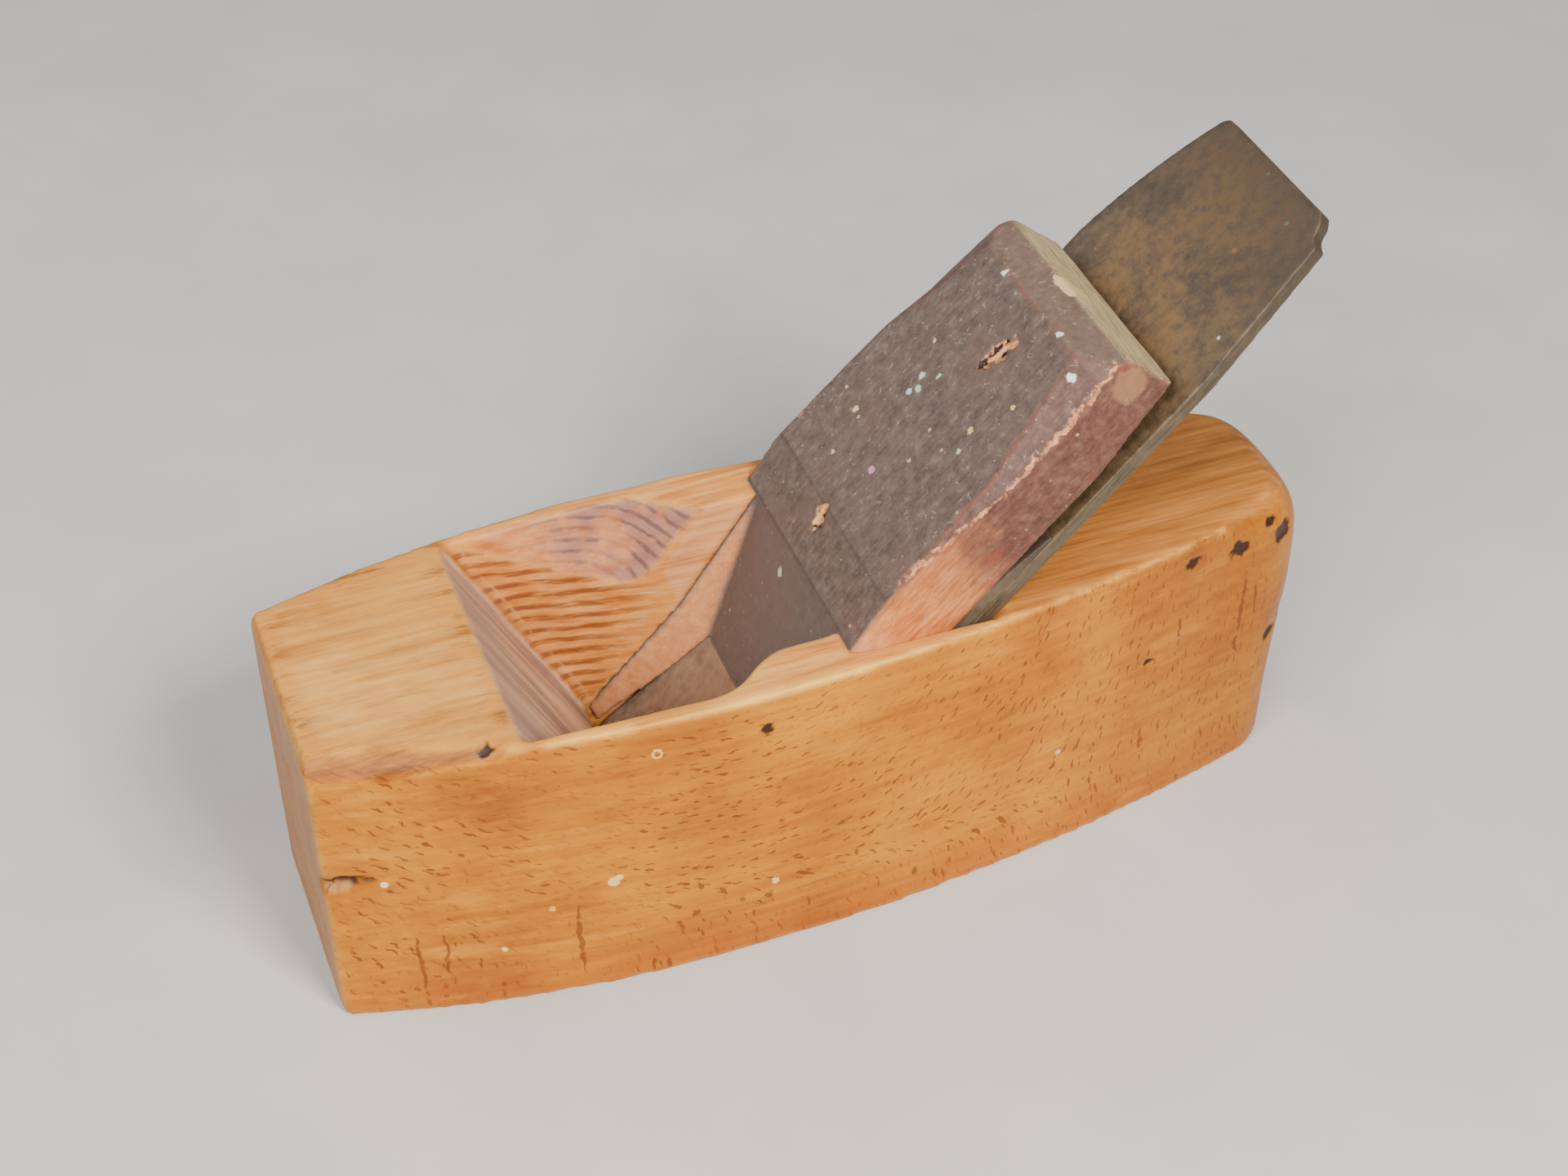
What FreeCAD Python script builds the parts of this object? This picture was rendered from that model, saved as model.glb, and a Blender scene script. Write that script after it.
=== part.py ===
"""A wooden smoothing plane: coffin-shaped stock, wedge and double iron.

Millimetres. The origin is the middle of the sole, +Z is up, the toe points to -X and the heel to +X.
The irons lie on a sloping bed. Their own frame starts in the middle of the cutting edge: its X runs up the
iron, its Y is the global Y and its Z stands off the iron's front face.
"""
import FreeCAD
import Part
import Sketcher
import math
import os

Vector = FreeCAD.Vector
Rotation = FreeCAD.Rotation
Placement = FreeCAD.Placement

DIMENSIONS = {
    # the stock's outside
    "body_length": 205.2,
    "body_width": 68.8,
    "body_height": 65.6,
    "toe_width": 45.8,
    "widest_x": -25.6,
    "front_bow_radius": 263.5,
    "rear_bow_radius": 435.5,
    "heel_corner_radius": 13,
    "heel_roll_radius": 11,
    "heel_lean": 2.4,
    "heel_lean_height": 50,
    "end_bevel": 1.2,
    # bed, throat and mouth
    "bed_angle": 45,
    "wedge_angle": 9.1,
    "edge_x": -38.7,
    "mouth_front_x": -41.7,
    "wear_height": 14.5,
    "throat_front_x": -64.2,
    "throat_front_half": 29.9,
    "cheek_spread": 0.208,
    "cheek_lean": 0.076,
    "abutment_x": -0.4,
    "abutment_gap": 44,
    "channel_width": 57.2,
    "eye_taper": 24,
    "eye_depth": 20,
    "eye_shoulder_x": -29,
    "eye_shoulder_half": 31,
    "eye_middle_x": -19.5,
    "eye_middle_half": 27,
    "eye_end_x": -6.4,
    "eye_end_half": 21.5,
    "eye_outer_radius": 13.3,
    "eye_inner_radius": 18.3,
    # groove in the bed for the cap iron screw's head
    "groove_width": 19.6,
    "groove_depth": 4.6,
    "groove_start": 60,
    # cutting iron
    "iron_length": 188,
    "iron_width": 54,
    "iron_thickness": 3,
    "grind_angle": 25,
    "iron_shoulder": 153,
    "iron_taper_radius": 130,
    "far_corner_half": 18,
    "far_corner_cut": 1.3,
    "near_corner_half": 23.8,
    "nick_start": 5,
    "nick_middle": 4,
    "nick_end": 1.6,
    "nick_depth": 2.5,
    "nick_lip": 0.8,
    "nick_corner_cut": 1.8,
    "slot_width": 11.2,
    "slot_start": 62,
    "slot_end": 130,
    "slot_hole_radius": 10,
    # cap iron, boss and screw
    "cap_start": 2,
    "cap_end": 112,
    "cap_thickness": 3.6,
    "cap_tip_land": 1.4,
    "cap_taper": 20,
    "cap_end_thickness": 0.7,
    "hump_foot": 28,
    "hump_rise": 1,
    "hump_hollow": 1.2,
    "hump_radius": 14,
    "hump_blend_radius": 40,
    "screw_place": 66,
    "boss_collar_radius": 5.3,
    "boss_radius": 4.5,
    "boss_collar_height": 2.7,
    "screw_radius": 3.2,
    "screw_clearance": 0.05,
    "shank_relief": 0.4,
    "head_radius": 8.5,
    "head_thickness": 3.4,
    "head_slot_width": 1.8,
    "head_slot_depth": 1.6,
    # wedge
    "wedge_width": 56.2,
    "wedge_thickness": 17.5,
    "wedge_end": 148.5,
    "wedge_top_bevel": 7.8,
    "wedge_end_drop": 5.5,
    "wedge_end_lean": 1.4,
    "wedge_pare_start": 128,
    "wedge_pare_angle": 8,
    "wedge_tip": 9,
    "wedge_tip_relief": 1.7,
    "wedge_step_height": 31.7,
    "side_bevel_start": 88,
    "side_bevel_start_inset": 0.1,
    "side_bevel_knee": 115,
    "side_bevel_knee_inset": 1.8,
    "side_bevel_end_inset": 12.3,
    "side_bevel_knee_drop": 3.7,
    "side_bevel_end_drop": 5.2,
    # how far a cutting shape runs past the surface it cuts
    "past": 5,
}

# places that several sketches share, written for the sheet
HALF_LENGTH = "dims.body_length / 2"
HALF_WIDTH = "dims.body_width / 2"
HEIGHT = "dims.body_height"
OVER = "(dims.body_height + dims.past)"
UNDER = "(-dims.past)"
CONTACT_SLOPE = "tan(dims.bed_angle + dims.wedge_angle)"
WEAR_X = f"(dims.abutment_x - (dims.body_height - dims.wear_height) / {CONTACT_SLOPE})"
BREAST_RUN = f"(({WEAR_X}) - dims.throat_front_x) / (dims.body_height - dims.wear_height)"

# cubic millimetres: a pocket that removes less than this has missed
LEAST_CUT = 1

doc = FreeCAD.newDocument("smoothing_plane")


def make_sheet():
    """Write the driving dimensions into a sheet, one alias each."""
    sheet = doc.addObject("Spreadsheet::Sheet", "dims")
    for row, (alias, value) in enumerate(DIMENSIONS.items(), start=1):
        sheet.set(f"A{row}", alias)
        sheet.set(f"B{row}", str(value))
        sheet.setAlias(f"B{row}", alias)
    doc.recompute()
    return sheet


sheet = make_sheet()


def size(expression):
    """The present value of an expression, such as a cell's alias."""
    value = sheet.evalExpression(expression)
    return float(getattr(value, "Value", value))


def bed_x(height):
    """Where the bed's surface is at a height, as an expression."""
    return f"(dims.edge_x + dims.iron_thickness / sin(dims.bed_angle) + {height} / tan(dims.bed_angle))"


def contact_x(height):
    """Where the abutments' bearing plane is at a height, as an expression."""
    return f"(dims.abutment_x - (dims.body_height - {height}) / {CONTACT_SLOPE})"


def breast_x(height):
    """Where the throat's front slope is at a height, as an expression."""
    return f"(dims.throat_front_x + (dims.body_height - {height}) * {BREAST_RUN})"


def cheek_half(x, height):
    """Half the throat's width between the cheeks at a place, as an expression."""
    return (f"(dims.throat_front_half - dims.cheek_spread * ({x} - dims.throat_front_x)"
            f" - dims.cheek_lean * ({height} - dims.body_height))")


def cheek_corner_x(height):
    """Where the cheek's slope runs into the abutment's inner wall, as an expression."""
    return (f"(dims.throat_front_x + (dims.throat_front_half - dims.abutment_gap / 2"
            f" - dims.cheek_lean * ({height} - dims.body_height)) / dims.cheek_spread)")


def side_plane():
    """Sketch plane of a side view: sketch X is global X and sketch Y is global Z."""
    return Placement(Vector(0, 0, 0), Rotation(Vector(1, 0, 0), 90))


def level_plane(height):
    """Sketch plane of a plan view at a height."""
    return Placement(Vector(0, 0, height), Rotation())


def iron_frame(stand_off=0):
    """The irons' own frame, moved off the front face by stand_off."""
    turn = Rotation(Vector(0, 1, 0), -size("dims.bed_angle"))
    edge = Vector(size("dims.edge_x"), 0, 0)
    return Placement(edge + turn.multVec(Vector(0, 0, stand_off)), turn)


def iron_side_plane():
    """Sketch plane of a side view in the irons' frame."""
    return iron_frame() * Placement(Vector(0, 0, 0), Rotation(Vector(1, 0, 0), 90))


def iron_cross_plane(place):
    """Sketch plane square to the irons: sketch X is global Y and sketch Y stands off the front face."""
    return iron_frame() * Placement(Vector(place, 0, 0), Rotation(Vector(1, 1, 1), 120))


def arc_between(start, end, radius, turns_left):
    """The short circular arc from start to end, turning left or right."""
    chord = end - start
    middle = (start + end) * 0.5
    reach = math.sqrt(max(radius ** 2 - (chord.Length / 2) ** 2, 0))
    left = Vector(-chord.y, chord.x, 0).normalize()
    centre = middle + left * (reach if turns_left else -reach)
    top = centre + (middle - centre).normalize() * radius
    return Part.Arc(start, top, end) if turns_left else Part.Arc(end, top, start)


def fill_sketch(sketch, path):
    """Draw a closed path. Each corner is (x, y) or (x, y, radius, "left" or "right"): the arc that leaves it.

    Every corner's place and every arc's radius is an expression that the sketch keeps.
    """
    corners = [Vector(size(corner[0]), size(corner[1]), 0) for corner in path]
    count = len(path)
    for index, corner in enumerate(path):
        start, end = corners[index], corners[(index + 1) % count]
        if len(corner) > 2:
            edge = arc_between(start, end, size(corner[2]), corner[3] == "left")
        else:
            edge = Part.LineSegment(start, end)
        sketch.addGeometry(edge, False)
    ends = []
    for index, corner in enumerate(path):
        geometry = sketch.Geometry[index]
        flipped = (geometry.StartPoint - corners[index]).Length > (geometry.EndPoint - corners[index]).Length
        ends.append((2, 1) if flipped else (1, 2))
    for index, corner in enumerate(path):
        following = (index + 1) % count
        sketch.addConstraint(Sketcher.Constraint(
            "Coincident", index, ends[index][1], following, ends[following][0]))
    for index, corner in enumerate(path):
        point = ends[index][0]
        for kind, place, expression in (("DistanceX", corners[index].x, corner[0]),
                                        ("DistanceY", corners[index].y, corner[1])):
            number = sketch.addConstraint(Sketcher.Constraint(kind, -1, 1, index, point, place))
            sketch.setExpression(f"Constraints[{number}]", expression)
        if len(corner) > 2:
            number = sketch.addConstraint(Sketcher.Constraint("Radius", index, size(corner[2])))
            sketch.setExpression(f"Constraints[{number}]", corner[2])


def sketch_at(name, placement, path):
    """A sketch of a closed path on a plane."""
    sketch = doc.addObject("Sketcher::SketchObject", name)
    sketch.Placement = placement
    fill_sketch(sketch, path)
    return sketch


def extrude(name, sketch, length, both_ways=True, backward=False):
    """Extrude a sketch along its normal, by a length given as an expression."""
    solid = doc.addObject("Part::Extrusion", name)
    solid.Base = sketch
    solid.DirMode = "Normal"
    solid.Solid = True
    solid.Symmetric = both_ways
    solid.Reversed = backward
    solid.setExpression("LengthFwd", length)
    return solid


def loft(name, sections):
    """A solid with straight sides between two sketches."""
    solid = doc.addObject("Part::Loft", name)
    solid.Sections = sections
    solid.Solid = True
    solid.Ruled = True
    return solid


def join(kind, name, shapes):
    """A boolean of several shapes: Part::MultiFuse or Part::MultiCommon."""
    result = doc.addObject(kind, name)
    result.Shapes = shapes
    return result


def cut(name, base, tool):
    """Base without tool."""
    result = doc.addObject("Part::Cut", name)
    result.Base = base
    result.Tool = tool
    return result


def mirrored_path(path):
    """A plan path drawn on +Y, from the toe to the heel, closed by its mirror image on -Y."""
    other = []
    for index in range(len(path) - 1, -1, -1):
        corner = path[index]
        arc = path[index - 1][2:] if index > 0 else ()
        other.append((corner[0], f"-({corner[1]})") + tuple(arc))
    return path + other


def plan_outline(heel_x):
    """The coffin shape: bowed sides, a narrow toe and a heel with round corners that ends at heel_x."""
    rear_centre_y = f"({HALF_WIDTH} - dims.rear_bow_radius)"
    corner_x = f"({heel_x} - dims.heel_corner_radius)"
    reach = "(dims.rear_bow_radius - dims.heel_corner_radius)"
    corner_rise = f"sqrt({reach} ^ 2 - ({corner_x} - dims.widest_x) ^ 2)"
    stretch = f"(dims.rear_bow_radius / {reach})"
    half = [
        (f"-{HALF_LENGTH}", "dims.toe_width / 2", "dims.front_bow_radius", "right"),
        ("dims.widest_x", HALF_WIDTH, "dims.rear_bow_radius", "right"),
        (f"dims.widest_x + ({corner_x} - dims.widest_x) * {stretch}",
         f"{rear_centre_y} + {corner_rise} * {stretch}", "dims.heel_corner_radius", "right"),
        (heel_x, f"{rear_centre_y} + {corner_rise}"),
    ]
    return mirrored_path(half)


def make_blank():
    """The stock before the throat is cut: plan shape and side shape together. The heel leans out."""
    low_heel = f"({HALF_LENGTH} - dims.heel_lean)"
    high_heel = f"({low_heel} + dims.heel_lean * {HEIGHT} / dims.heel_lean_height)"
    low_plan = sketch_at("low_plan_sketch", level_plane(0), plan_outline(low_heel))
    high_plan = sketch_at("high_plan_sketch", level_plane(size(HEIGHT)), plan_outline(high_heel))
    side = sketch_at("side_sketch", side_plane(), [
        (f"-{HALF_LENGTH} + dims.end_bevel", "0"),
        (f"{low_heel} - dims.end_bevel", "0"),
        (HALF_LENGTH, "dims.heel_lean + dims.end_bevel"),
        (HALF_LENGTH, f"{HEIGHT} - dims.heel_roll_radius", "dims.heel_roll_radius", "left"),
        (f"{HALF_LENGTH} - dims.heel_roll_radius", HEIGHT),
        (f"-{HALF_LENGTH} + dims.end_bevel", HEIGHT),
        (f"-{HALF_LENGTH}", f"{HEIGHT} - dims.end_bevel"),
        (f"-{HALF_LENGTH}", "dims.end_bevel"),
    ])
    plan_solid = loft("plan_solid", [low_plan, high_plan])
    side_solid = extrude("side_solid", side, "dims.body_width + 2 * dims.past")
    return join("Part::MultiCommon", "blank", [plan_solid, side_solid])


def make_flare():
    """The room between the cheeks: parallel at the abutments, spreading towards the toe and the sole."""
    levels = []
    for name, height in (("flare_low_sketch", UNDER), ("flare_high_sketch", OVER)):
        front = "(dims.throat_front_x - 2 * dims.past)"
        path = mirrored_path([
            (front, cheek_half(front, height)),
            (cheek_corner_x(height), "dims.abutment_gap / 2"),
            ("dims.abutment_x + dims.abutment_gap", "dims.abutment_gap / 2"),
        ])
        levels.append(sketch_at(name, level_plane(size(height)), path))
    return loft("flare", levels)


def eye_path(inset):
    """Plan path of the eyes' wall, moved in by inset, as it is at some depth."""
    bow = "dims.eye_outer_radius"
    slope = "(dims.eye_shoulder_half - dims.throat_front_half) / (dims.eye_shoulder_x - dims.throat_front_x)"
    out_x = f"(dims.eye_middle_x - dims.eye_shoulder_x) / {bow}"
    out_y = f"(1 - (dims.eye_shoulder_half - dims.eye_middle_half) / {bow})"
    return mirrored_path([
        ("dims.throat_front_x - 2 * dims.past",
         f"dims.throat_front_half - 2 * dims.past * {slope} - {inset}"),
        ("dims.eye_shoulder_x", f"dims.eye_shoulder_half - {inset}", f"{bow} - {inset}", "right"),
        (f"dims.eye_middle_x - {inset} * {out_x}", f"dims.eye_middle_half - {inset} * {out_y}",
         f"dims.eye_inner_radius + {inset}", "left"),
        ("dims.eye_end_x", f"dims.eye_end_half - {inset}"),
    ])


def make_eyes():
    """The pared hollows at the throat's upper edge, which sweep in to the abutments and fade below."""
    inset = "(dims.eye_depth * tan(dims.eye_taper))"
    low_height = size("dims.body_height - dims.eye_depth")
    low = sketch_at("eye_low_sketch", level_plane(low_height), eye_path(inset))
    high = sketch_at("eye_high_sketch", level_plane(size(HEIGHT)), eye_path("0"))
    return loft("eyes", [low, high])


def make_channel():
    """The slot for the irons and the wedge, from the top down through the mouth."""
    mouth_run = f"({WEAR_X} - dims.mouth_front_x) / dims.wear_height"
    sketch = sketch_at("channel_sketch", side_plane(), [
        (bed_x(UNDER), UNDER),
        (bed_x(OVER), OVER),
        (contact_x(OVER), OVER),
        (WEAR_X, "dims.wear_height"),
        (f"dims.mouth_front_x + {UNDER} * {mouth_run}", UNDER),
    ])
    return extrude("channel", sketch, "dims.channel_width")


def make_throat(flare):
    """The escapement in front of the abutments, with its cheeks and eyes."""
    sketch = sketch_at("throat_sketch", side_plane(), [
        (WEAR_X, "dims.wear_height"),
        (contact_x(OVER), OVER),
        (breast_x(OVER), OVER),
    ])
    slab = extrude("throat_slab", sketch, "dims.body_width")
    room = join("Part::MultiFuse", "throat_room", [flare, make_eyes()])
    return join("Part::MultiCommon", "throat", [slab, room])


def make_groove():
    """The groove in the bed that the cap iron screw's head slides in."""
    sketch = sketch_at("groove_sketch", iron_frame(-size("dims.iron_thickness")), [
        ("dims.iron_length", "-dims.groove_width / 2"),
        ("dims.iron_length", "dims.groove_width / 2"),
        ("dims.groove_start", "dims.groove_width / 2", "dims.groove_width / 2", "left"),
        ("dims.groove_start - dims.groove_width / 2", "0", "dims.groove_width / 2", "left"),
        ("dims.groove_start", "-dims.groove_width / 2"),
    ])
    return extrude("groove", sketch, "dims.groove_depth", both_ways=False, backward=True)


def make_stock(flare):
    """The block of beech with its throat, channel and groove cut out."""
    hollow = join("Part::MultiFuse", "hollow", [make_channel(), make_throat(flare), make_groove()])
    return cut("stock", make_blank(), hollow)


def named_plane(body, role):
    """One of a body's own origin planes."""
    return next(plane for plane in body.Origin.OriginFeatures if plane.Role == role)


def body_sketch(body, name, role, path):
    """A sketch on one of the body's origin planes."""
    sketch = body.newObject("Sketcher::SketchObject", name)
    sketch.AttachmentSupport = [(named_plane(body, role), "")]
    sketch.MapMode = "FlatFace"
    doc.recompute()
    fill_sketch(sketch, path)
    doc.recompute()
    return sketch


def pocket(body, name, sketch, symmetric=False):
    """Cut a sketch right through the body, and make sure that it removed something."""
    before = body.Shape.Volume
    feature = body.newObject("PartDesign::Pocket", name)
    feature.Profile = sketch
    feature.Type = "ThroughAll"
    feature.Midplane = symmetric
    doc.recompute()
    if not body.Shape.Volume < before - LEAST_CUT:
        raise RuntimeError(f"{name} cut nothing")
    return feature


def make_cutting_iron():
    """The blade: clipped upper corners, a nick in one of them, a long slot and a ground bevel."""
    half = "dims.iron_width / 2"
    body = doc.addObject("PartDesign::Body", "cutting_iron")
    near = "-dims.near_corner_half"
    outline = body_sketch(body, "iron_outline", "XY_Plane", [
        ("0", f"-{half}"),
        ("dims.iron_shoulder", f"-{half}"),
        ("dims.iron_length - dims.nick_start", near),
        ("dims.iron_length - dims.nick_middle", f"{near} + dims.nick_depth"),
        ("dims.iron_length - dims.nick_end", f"{near} + dims.nick_depth + dims.nick_lip"),
        ("dims.iron_length", f"{near} + dims.nick_depth + dims.nick_lip + dims.nick_corner_cut"),
        ("dims.iron_length", "dims.far_corner_half - dims.far_corner_cut"),
        ("dims.iron_length - dims.far_corner_cut", "dims.far_corner_half",
         "dims.iron_taper_radius", "left"),
        ("dims.iron_shoulder", half),
        ("0", half),
    ])
    plate = body.newObject("PartDesign::Pad", "iron_plate")
    plate.Profile = outline
    plate.Reversed = True
    plate.setExpression("Length", "dims.iron_thickness")
    doc.recompute()
    below = "(dims.iron_thickness + dims.past)"
    bevel = body_sketch(body, "grind_sketch", "XZ_Plane", [
        ("0", "0"),
        ("-dims.past", "0"),
        ("-dims.past", f"-{below}"),
        (f"{below} / tan(dims.grind_angle)", f"-{below}"),
    ])
    pocket(body, "grind", bevel, symmetric=True)
    slot_half = "dims.slot_width / 2"
    slot = body_sketch(body, "slot_sketch", "XY_Plane", [
        ("dims.slot_start", f"-{slot_half}"),
        ("dims.slot_end", f"-{slot_half}"),
        ("dims.slot_end", slot_half),
        ("dims.slot_start", slot_half, slot_half, "left"),
        (f"dims.slot_start - {slot_half}", "0", slot_half, "left"),
    ])
    pocket(body, "slot", slot)
    hole = body.newObject("Sketcher::SketchObject", "slot_hole_sketch")
    hole.AttachmentSupport = [(named_plane(body, "XY_Plane"), "")]
    hole.MapMode = "FlatFace"
    fill_circle(hole, "dims.slot_end", "dims.slot_hole_radius")
    pocket(body, "slot_hole", hole)
    body.Placement = iron_frame()
    return body


def fill_circle(sketch, centre_x, radius):
    """Draw one circle on the sketch's X axis."""
    middle = Vector(size(centre_x), 0, 0)
    sketch.addGeometry(Part.Circle(middle, Vector(0, 0, 1), size(radius)), False)
    sketch.addConstraint(Sketcher.Constraint("PointOnObject", 0, 3, -1))
    place = sketch.addConstraint(Sketcher.Constraint("DistanceX", -1, 1, 0, 3, middle.x))
    sketch.setExpression(f"Constraints[{place}]", centre_x)
    width = sketch.addConstraint(Sketcher.Constraint("Radius", 0, size(radius)))
    sketch.setExpression(f"Constraints[{width}]", radius)


def cylinder(name, radius, height, start, place="dims.screw_place"):
    """A round solid square to the irons, at a place up the iron, from start outwards."""
    solid = doc.addObject("Part::Cylinder", name)
    solid.setExpression("Radius", radius)
    solid.setExpression("Height", height)
    solid.Placement = iron_frame() * Placement(Vector(size(place), 0, size(start)), Rotation())
    return solid


def make_cap_iron():
    """The cap iron: a flat plate with a humped front end. Its upper end tapers to a thin edge."""
    sketch = sketch_at("cap_sketch", iron_side_plane(), [
        ("dims.cap_start", "0"),
        ("dims.cap_start + dims.cap_tip_land", "0"),
        ("dims.hump_foot / 2", "dims.hump_hollow"),
        ("dims.hump_foot", "0"),
        ("dims.cap_end", "0"),
        ("dims.cap_end", "dims.cap_end_thickness"),
        ("dims.cap_end - dims.cap_taper", "dims.cap_thickness"),
        ("dims.hump_foot", "dims.cap_thickness", "dims.hump_blend_radius", "right"),
        ("dims.hump_foot / 2", "dims.cap_thickness + dims.hump_rise", "dims.hump_radius", "left"),
    ])
    plate = extrude("cap_plate", sketch, "dims.iron_width")
    bore = cylinder("cap_bore", "dims.boss_radius", "dims.cap_thickness + 2 * dims.past", UNDER)
    return cut("cap_iron", plate, bore)


def make_cap_boss():
    """The brass boss riveted in the cap iron. Its collar fills the cutting iron's slot."""
    stem = cylinder("boss_stem", "dims.boss_radius", "dims.cap_thickness", "0")
    collar = cylinder("boss_collar", "dims.boss_collar_radius", "dims.boss_collar_height",
                      "-dims.boss_collar_height")
    bore = cylinder("boss_bore", "dims.screw_radius", "dims.cap_thickness + 2 * dims.past", UNDER)
    return cut("cap_boss", join("Part::MultiFuse", "boss_solid", [stem, collar]), bore)


def make_cap_screw():
    """The screw that clamps the two irons: a wide flat head behind the cutting iron and a short shank."""
    head = cylinder("screw_head", "dims.head_radius", "dims.head_thickness",
                    "-dims.iron_thickness - dims.head_thickness")
    shank = cylinder("screw_shank", "dims.screw_radius - dims.screw_clearance",
                     "dims.iron_thickness + dims.cap_thickness - dims.shank_relief",
                     "-dims.iron_thickness")
    slot = doc.addObject("Part::Box", "screw_slot")
    slot.setExpression("Length", "dims.head_slot_width")
    slot.setExpression("Width", "2 * (dims.head_radius + dims.past)")
    slot.setExpression("Height", "dims.head_slot_depth + dims.past")
    slot.Placement = iron_frame() * Placement(Vector(
        size("dims.screw_place - dims.head_slot_width / 2"),
        -size("dims.head_radius + dims.past"),
        -size("dims.iron_thickness + dims.head_thickness + dims.past")), Rotation())
    return cut("cap_screw", join("Part::MultiFuse", "screw_solid", [head, shank]), slot)


def make_side_bevel(name, side):
    """What the long bevel on one side (1 or -1) of the wedge takes off its front face's edge.

    It starts as a steep narrow facet and broadens from the knee up. The last section is past the end.
    """
    face = "(dims.cap_thickness + dims.wedge_thickness)"
    edge = "dims.wedge_width / 2"
    sections = []
    for place, inset, drop in (
            ("dims.side_bevel_start", "dims.side_bevel_start_inset", "dims.side_bevel_start_inset"),
            ("dims.side_bevel_knee", "dims.side_bevel_knee_inset", "dims.side_bevel_knee_drop"),
            ("dims.wedge_end + dims.past", "dims.side_bevel_end_inset", "dims.side_bevel_end_drop")):
        inner = f"{side} * ({edge} - {inset})"
        outer = f"{side} * ({edge} + {inset})"
        sketch = sketch_at(f"{name}_{len(sections)}_sketch", iron_cross_plane(size(place)), [
            (inner, face),
            (outer, f"{face} - 2 * {drop}"),
            (outer, f"{face} + dims.past"),
            (inner, f"{face} + dims.past"),
        ])
        sections.append(sketch)
    return loft(name, sections)


def make_wedge_plan():
    """The wedge seen square to the irons: parallel sides that are pared in towards the upper end."""
    half = "dims.wedge_width / 2"
    past_end = "(dims.wedge_end + dims.past)"
    sketch = sketch_at("wedge_plan_sketch", iron_frame(), mirrored_path([
        ("dims.wedge_tip - dims.past", half),
        ("dims.wedge_pare_start", half),
        (past_end, f"{half} - ({past_end} - dims.wedge_pare_start) * tan(dims.wedge_pare_angle)"),
    ]))
    return extrude("wedge_plan", sketch, "2 * (dims.cap_thickness + dims.wedge_thickness + dims.past)")


def make_wedge(flare):
    """The wedge: a square end with bevels, a thin middle edge and two prongs behind the abutments."""
    face = "dims.cap_thickness + dims.wedge_thickness"
    contact_drop = "tan(dims.wedge_angle)"
    line_x = "(dims.abutment_x - dims.edge_x)"
    # the abutments' top edge in the irons' frame
    up = f"({line_x} * cos(dims.bed_angle) + dims.body_height * sin(dims.bed_angle))"
    off = f"(dims.body_height * cos(dims.bed_angle) - {line_x} * sin(dims.bed_angle))"
    shoulder = f"{up} + (({face}) - {off}) / {contact_drop}"
    tip_off = f"{off} - ({up} - dims.wedge_tip) * {contact_drop}"
    sketch = sketch_at("wedge_sketch", iron_side_plane(), [
        ("dims.wedge_tip", "dims.cap_thickness + dims.wedge_tip_relief"),
        ("dims.hump_foot", "dims.cap_thickness"),
        ("dims.wedge_end", "dims.cap_thickness"),
        ("dims.wedge_end - dims.wedge_end_lean", f"{face} - dims.wedge_end_drop"),
        ("dims.wedge_end - dims.wedge_top_bevel", face),
        (shoulder, face),
        ("dims.wedge_tip", tip_off),
    ])
    profile = extrude("wedge_profile", sketch, "dims.wedge_width + 2 * dims.past")
    solid = join("Part::MultiCommon", "wedge_solid", [profile, make_wedge_plan()])
    step_x = (f"(dims.edge_x - dims.cap_thickness / sin(dims.bed_angle)"
              f" + dims.wedge_step_height / tan(dims.bed_angle))")
    step_run = f"((dims.abutment_x - {step_x}) / (dims.body_height - dims.wedge_step_height))"
    step = sketch_at("step_sketch", side_plane(), [
        ("dims.abutment_x", HEIGHT),
        (f"{step_x} - dims.past * {step_run}", "dims.wedge_step_height - dims.past"),
        (f"{step_x} + dims.past", UNDER),
        ("dims.throat_front_x", UNDER),
        ("dims.throat_front_x", HEIGHT),
    ])
    step_slab = extrude("step_slab", step, "dims.body_width")
    middle = join("Part::MultiCommon", "wedge_middle", [step_slab, flare])
    bevels = [make_side_bevel("far_bevel", 1), make_side_bevel("near_bevel", -1)]
    waste = join("Part::MultiFuse", "wedge_waste", [middle] + bevels)
    return cut("wedge", solid, waste)


def check(parts):
    """Stop unless every object computed and every part is one valid solid."""
    for item in doc.Objects:
        if any(word in item.State for word in ("Invalid", "Error")):
            raise RuntimeError(f"{item.Label} did not compute: {item.State}")
    for part in parts:
        shape = part.Shape
        if shape.isNull() or not shape.isValid() or len(shape.Solids) != 1:
            raise RuntimeError(f"{part.Label} is not one valid solid: {len(shape.Solids)}")
        box = shape.BoundBox
        print(f"{part.Label}: {shape.Volume / 1000:.2f} cm3,"
              f" X {box.XMin:.2f} to {box.XMax:.2f}, Y {box.YMin:.2f} to {box.YMax:.2f},"
              f" Z {box.ZMin:.2f} to {box.ZMax:.2f}")


def main():
    """Build every sub-part and write it to its own file."""
    flare = make_flare()
    parts = [
        make_stock(flare),
        make_wedge(flare),
        make_cutting_iron(),
        make_cap_iron(),
        make_cap_boss(),
        make_cap_screw(),
    ]
    for part in parts:
        part.Label = part.Name
    doc.recompute()
    check(parts)
    os.makedirs("parts", exist_ok=True)
    for part in parts:
        part.Shape.exportStep(f"parts/{part.Label}.step")


main()
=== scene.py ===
"""The looks of the wooden smoothing plane: worn beech stock, dark wedge and rusty irons.

Places and sizes are in millimetres in the part's own frame, with the toe at -X, the near
side at -Y and the sole on z = 0. They become metres only where they enter Blender. The
lamps and the floor are in metres. Colours are 0 to 255 sRGB numbers.
"""
import math

import bpy
import numpy as np
from mathutils import Matrix, Vector, noise


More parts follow.
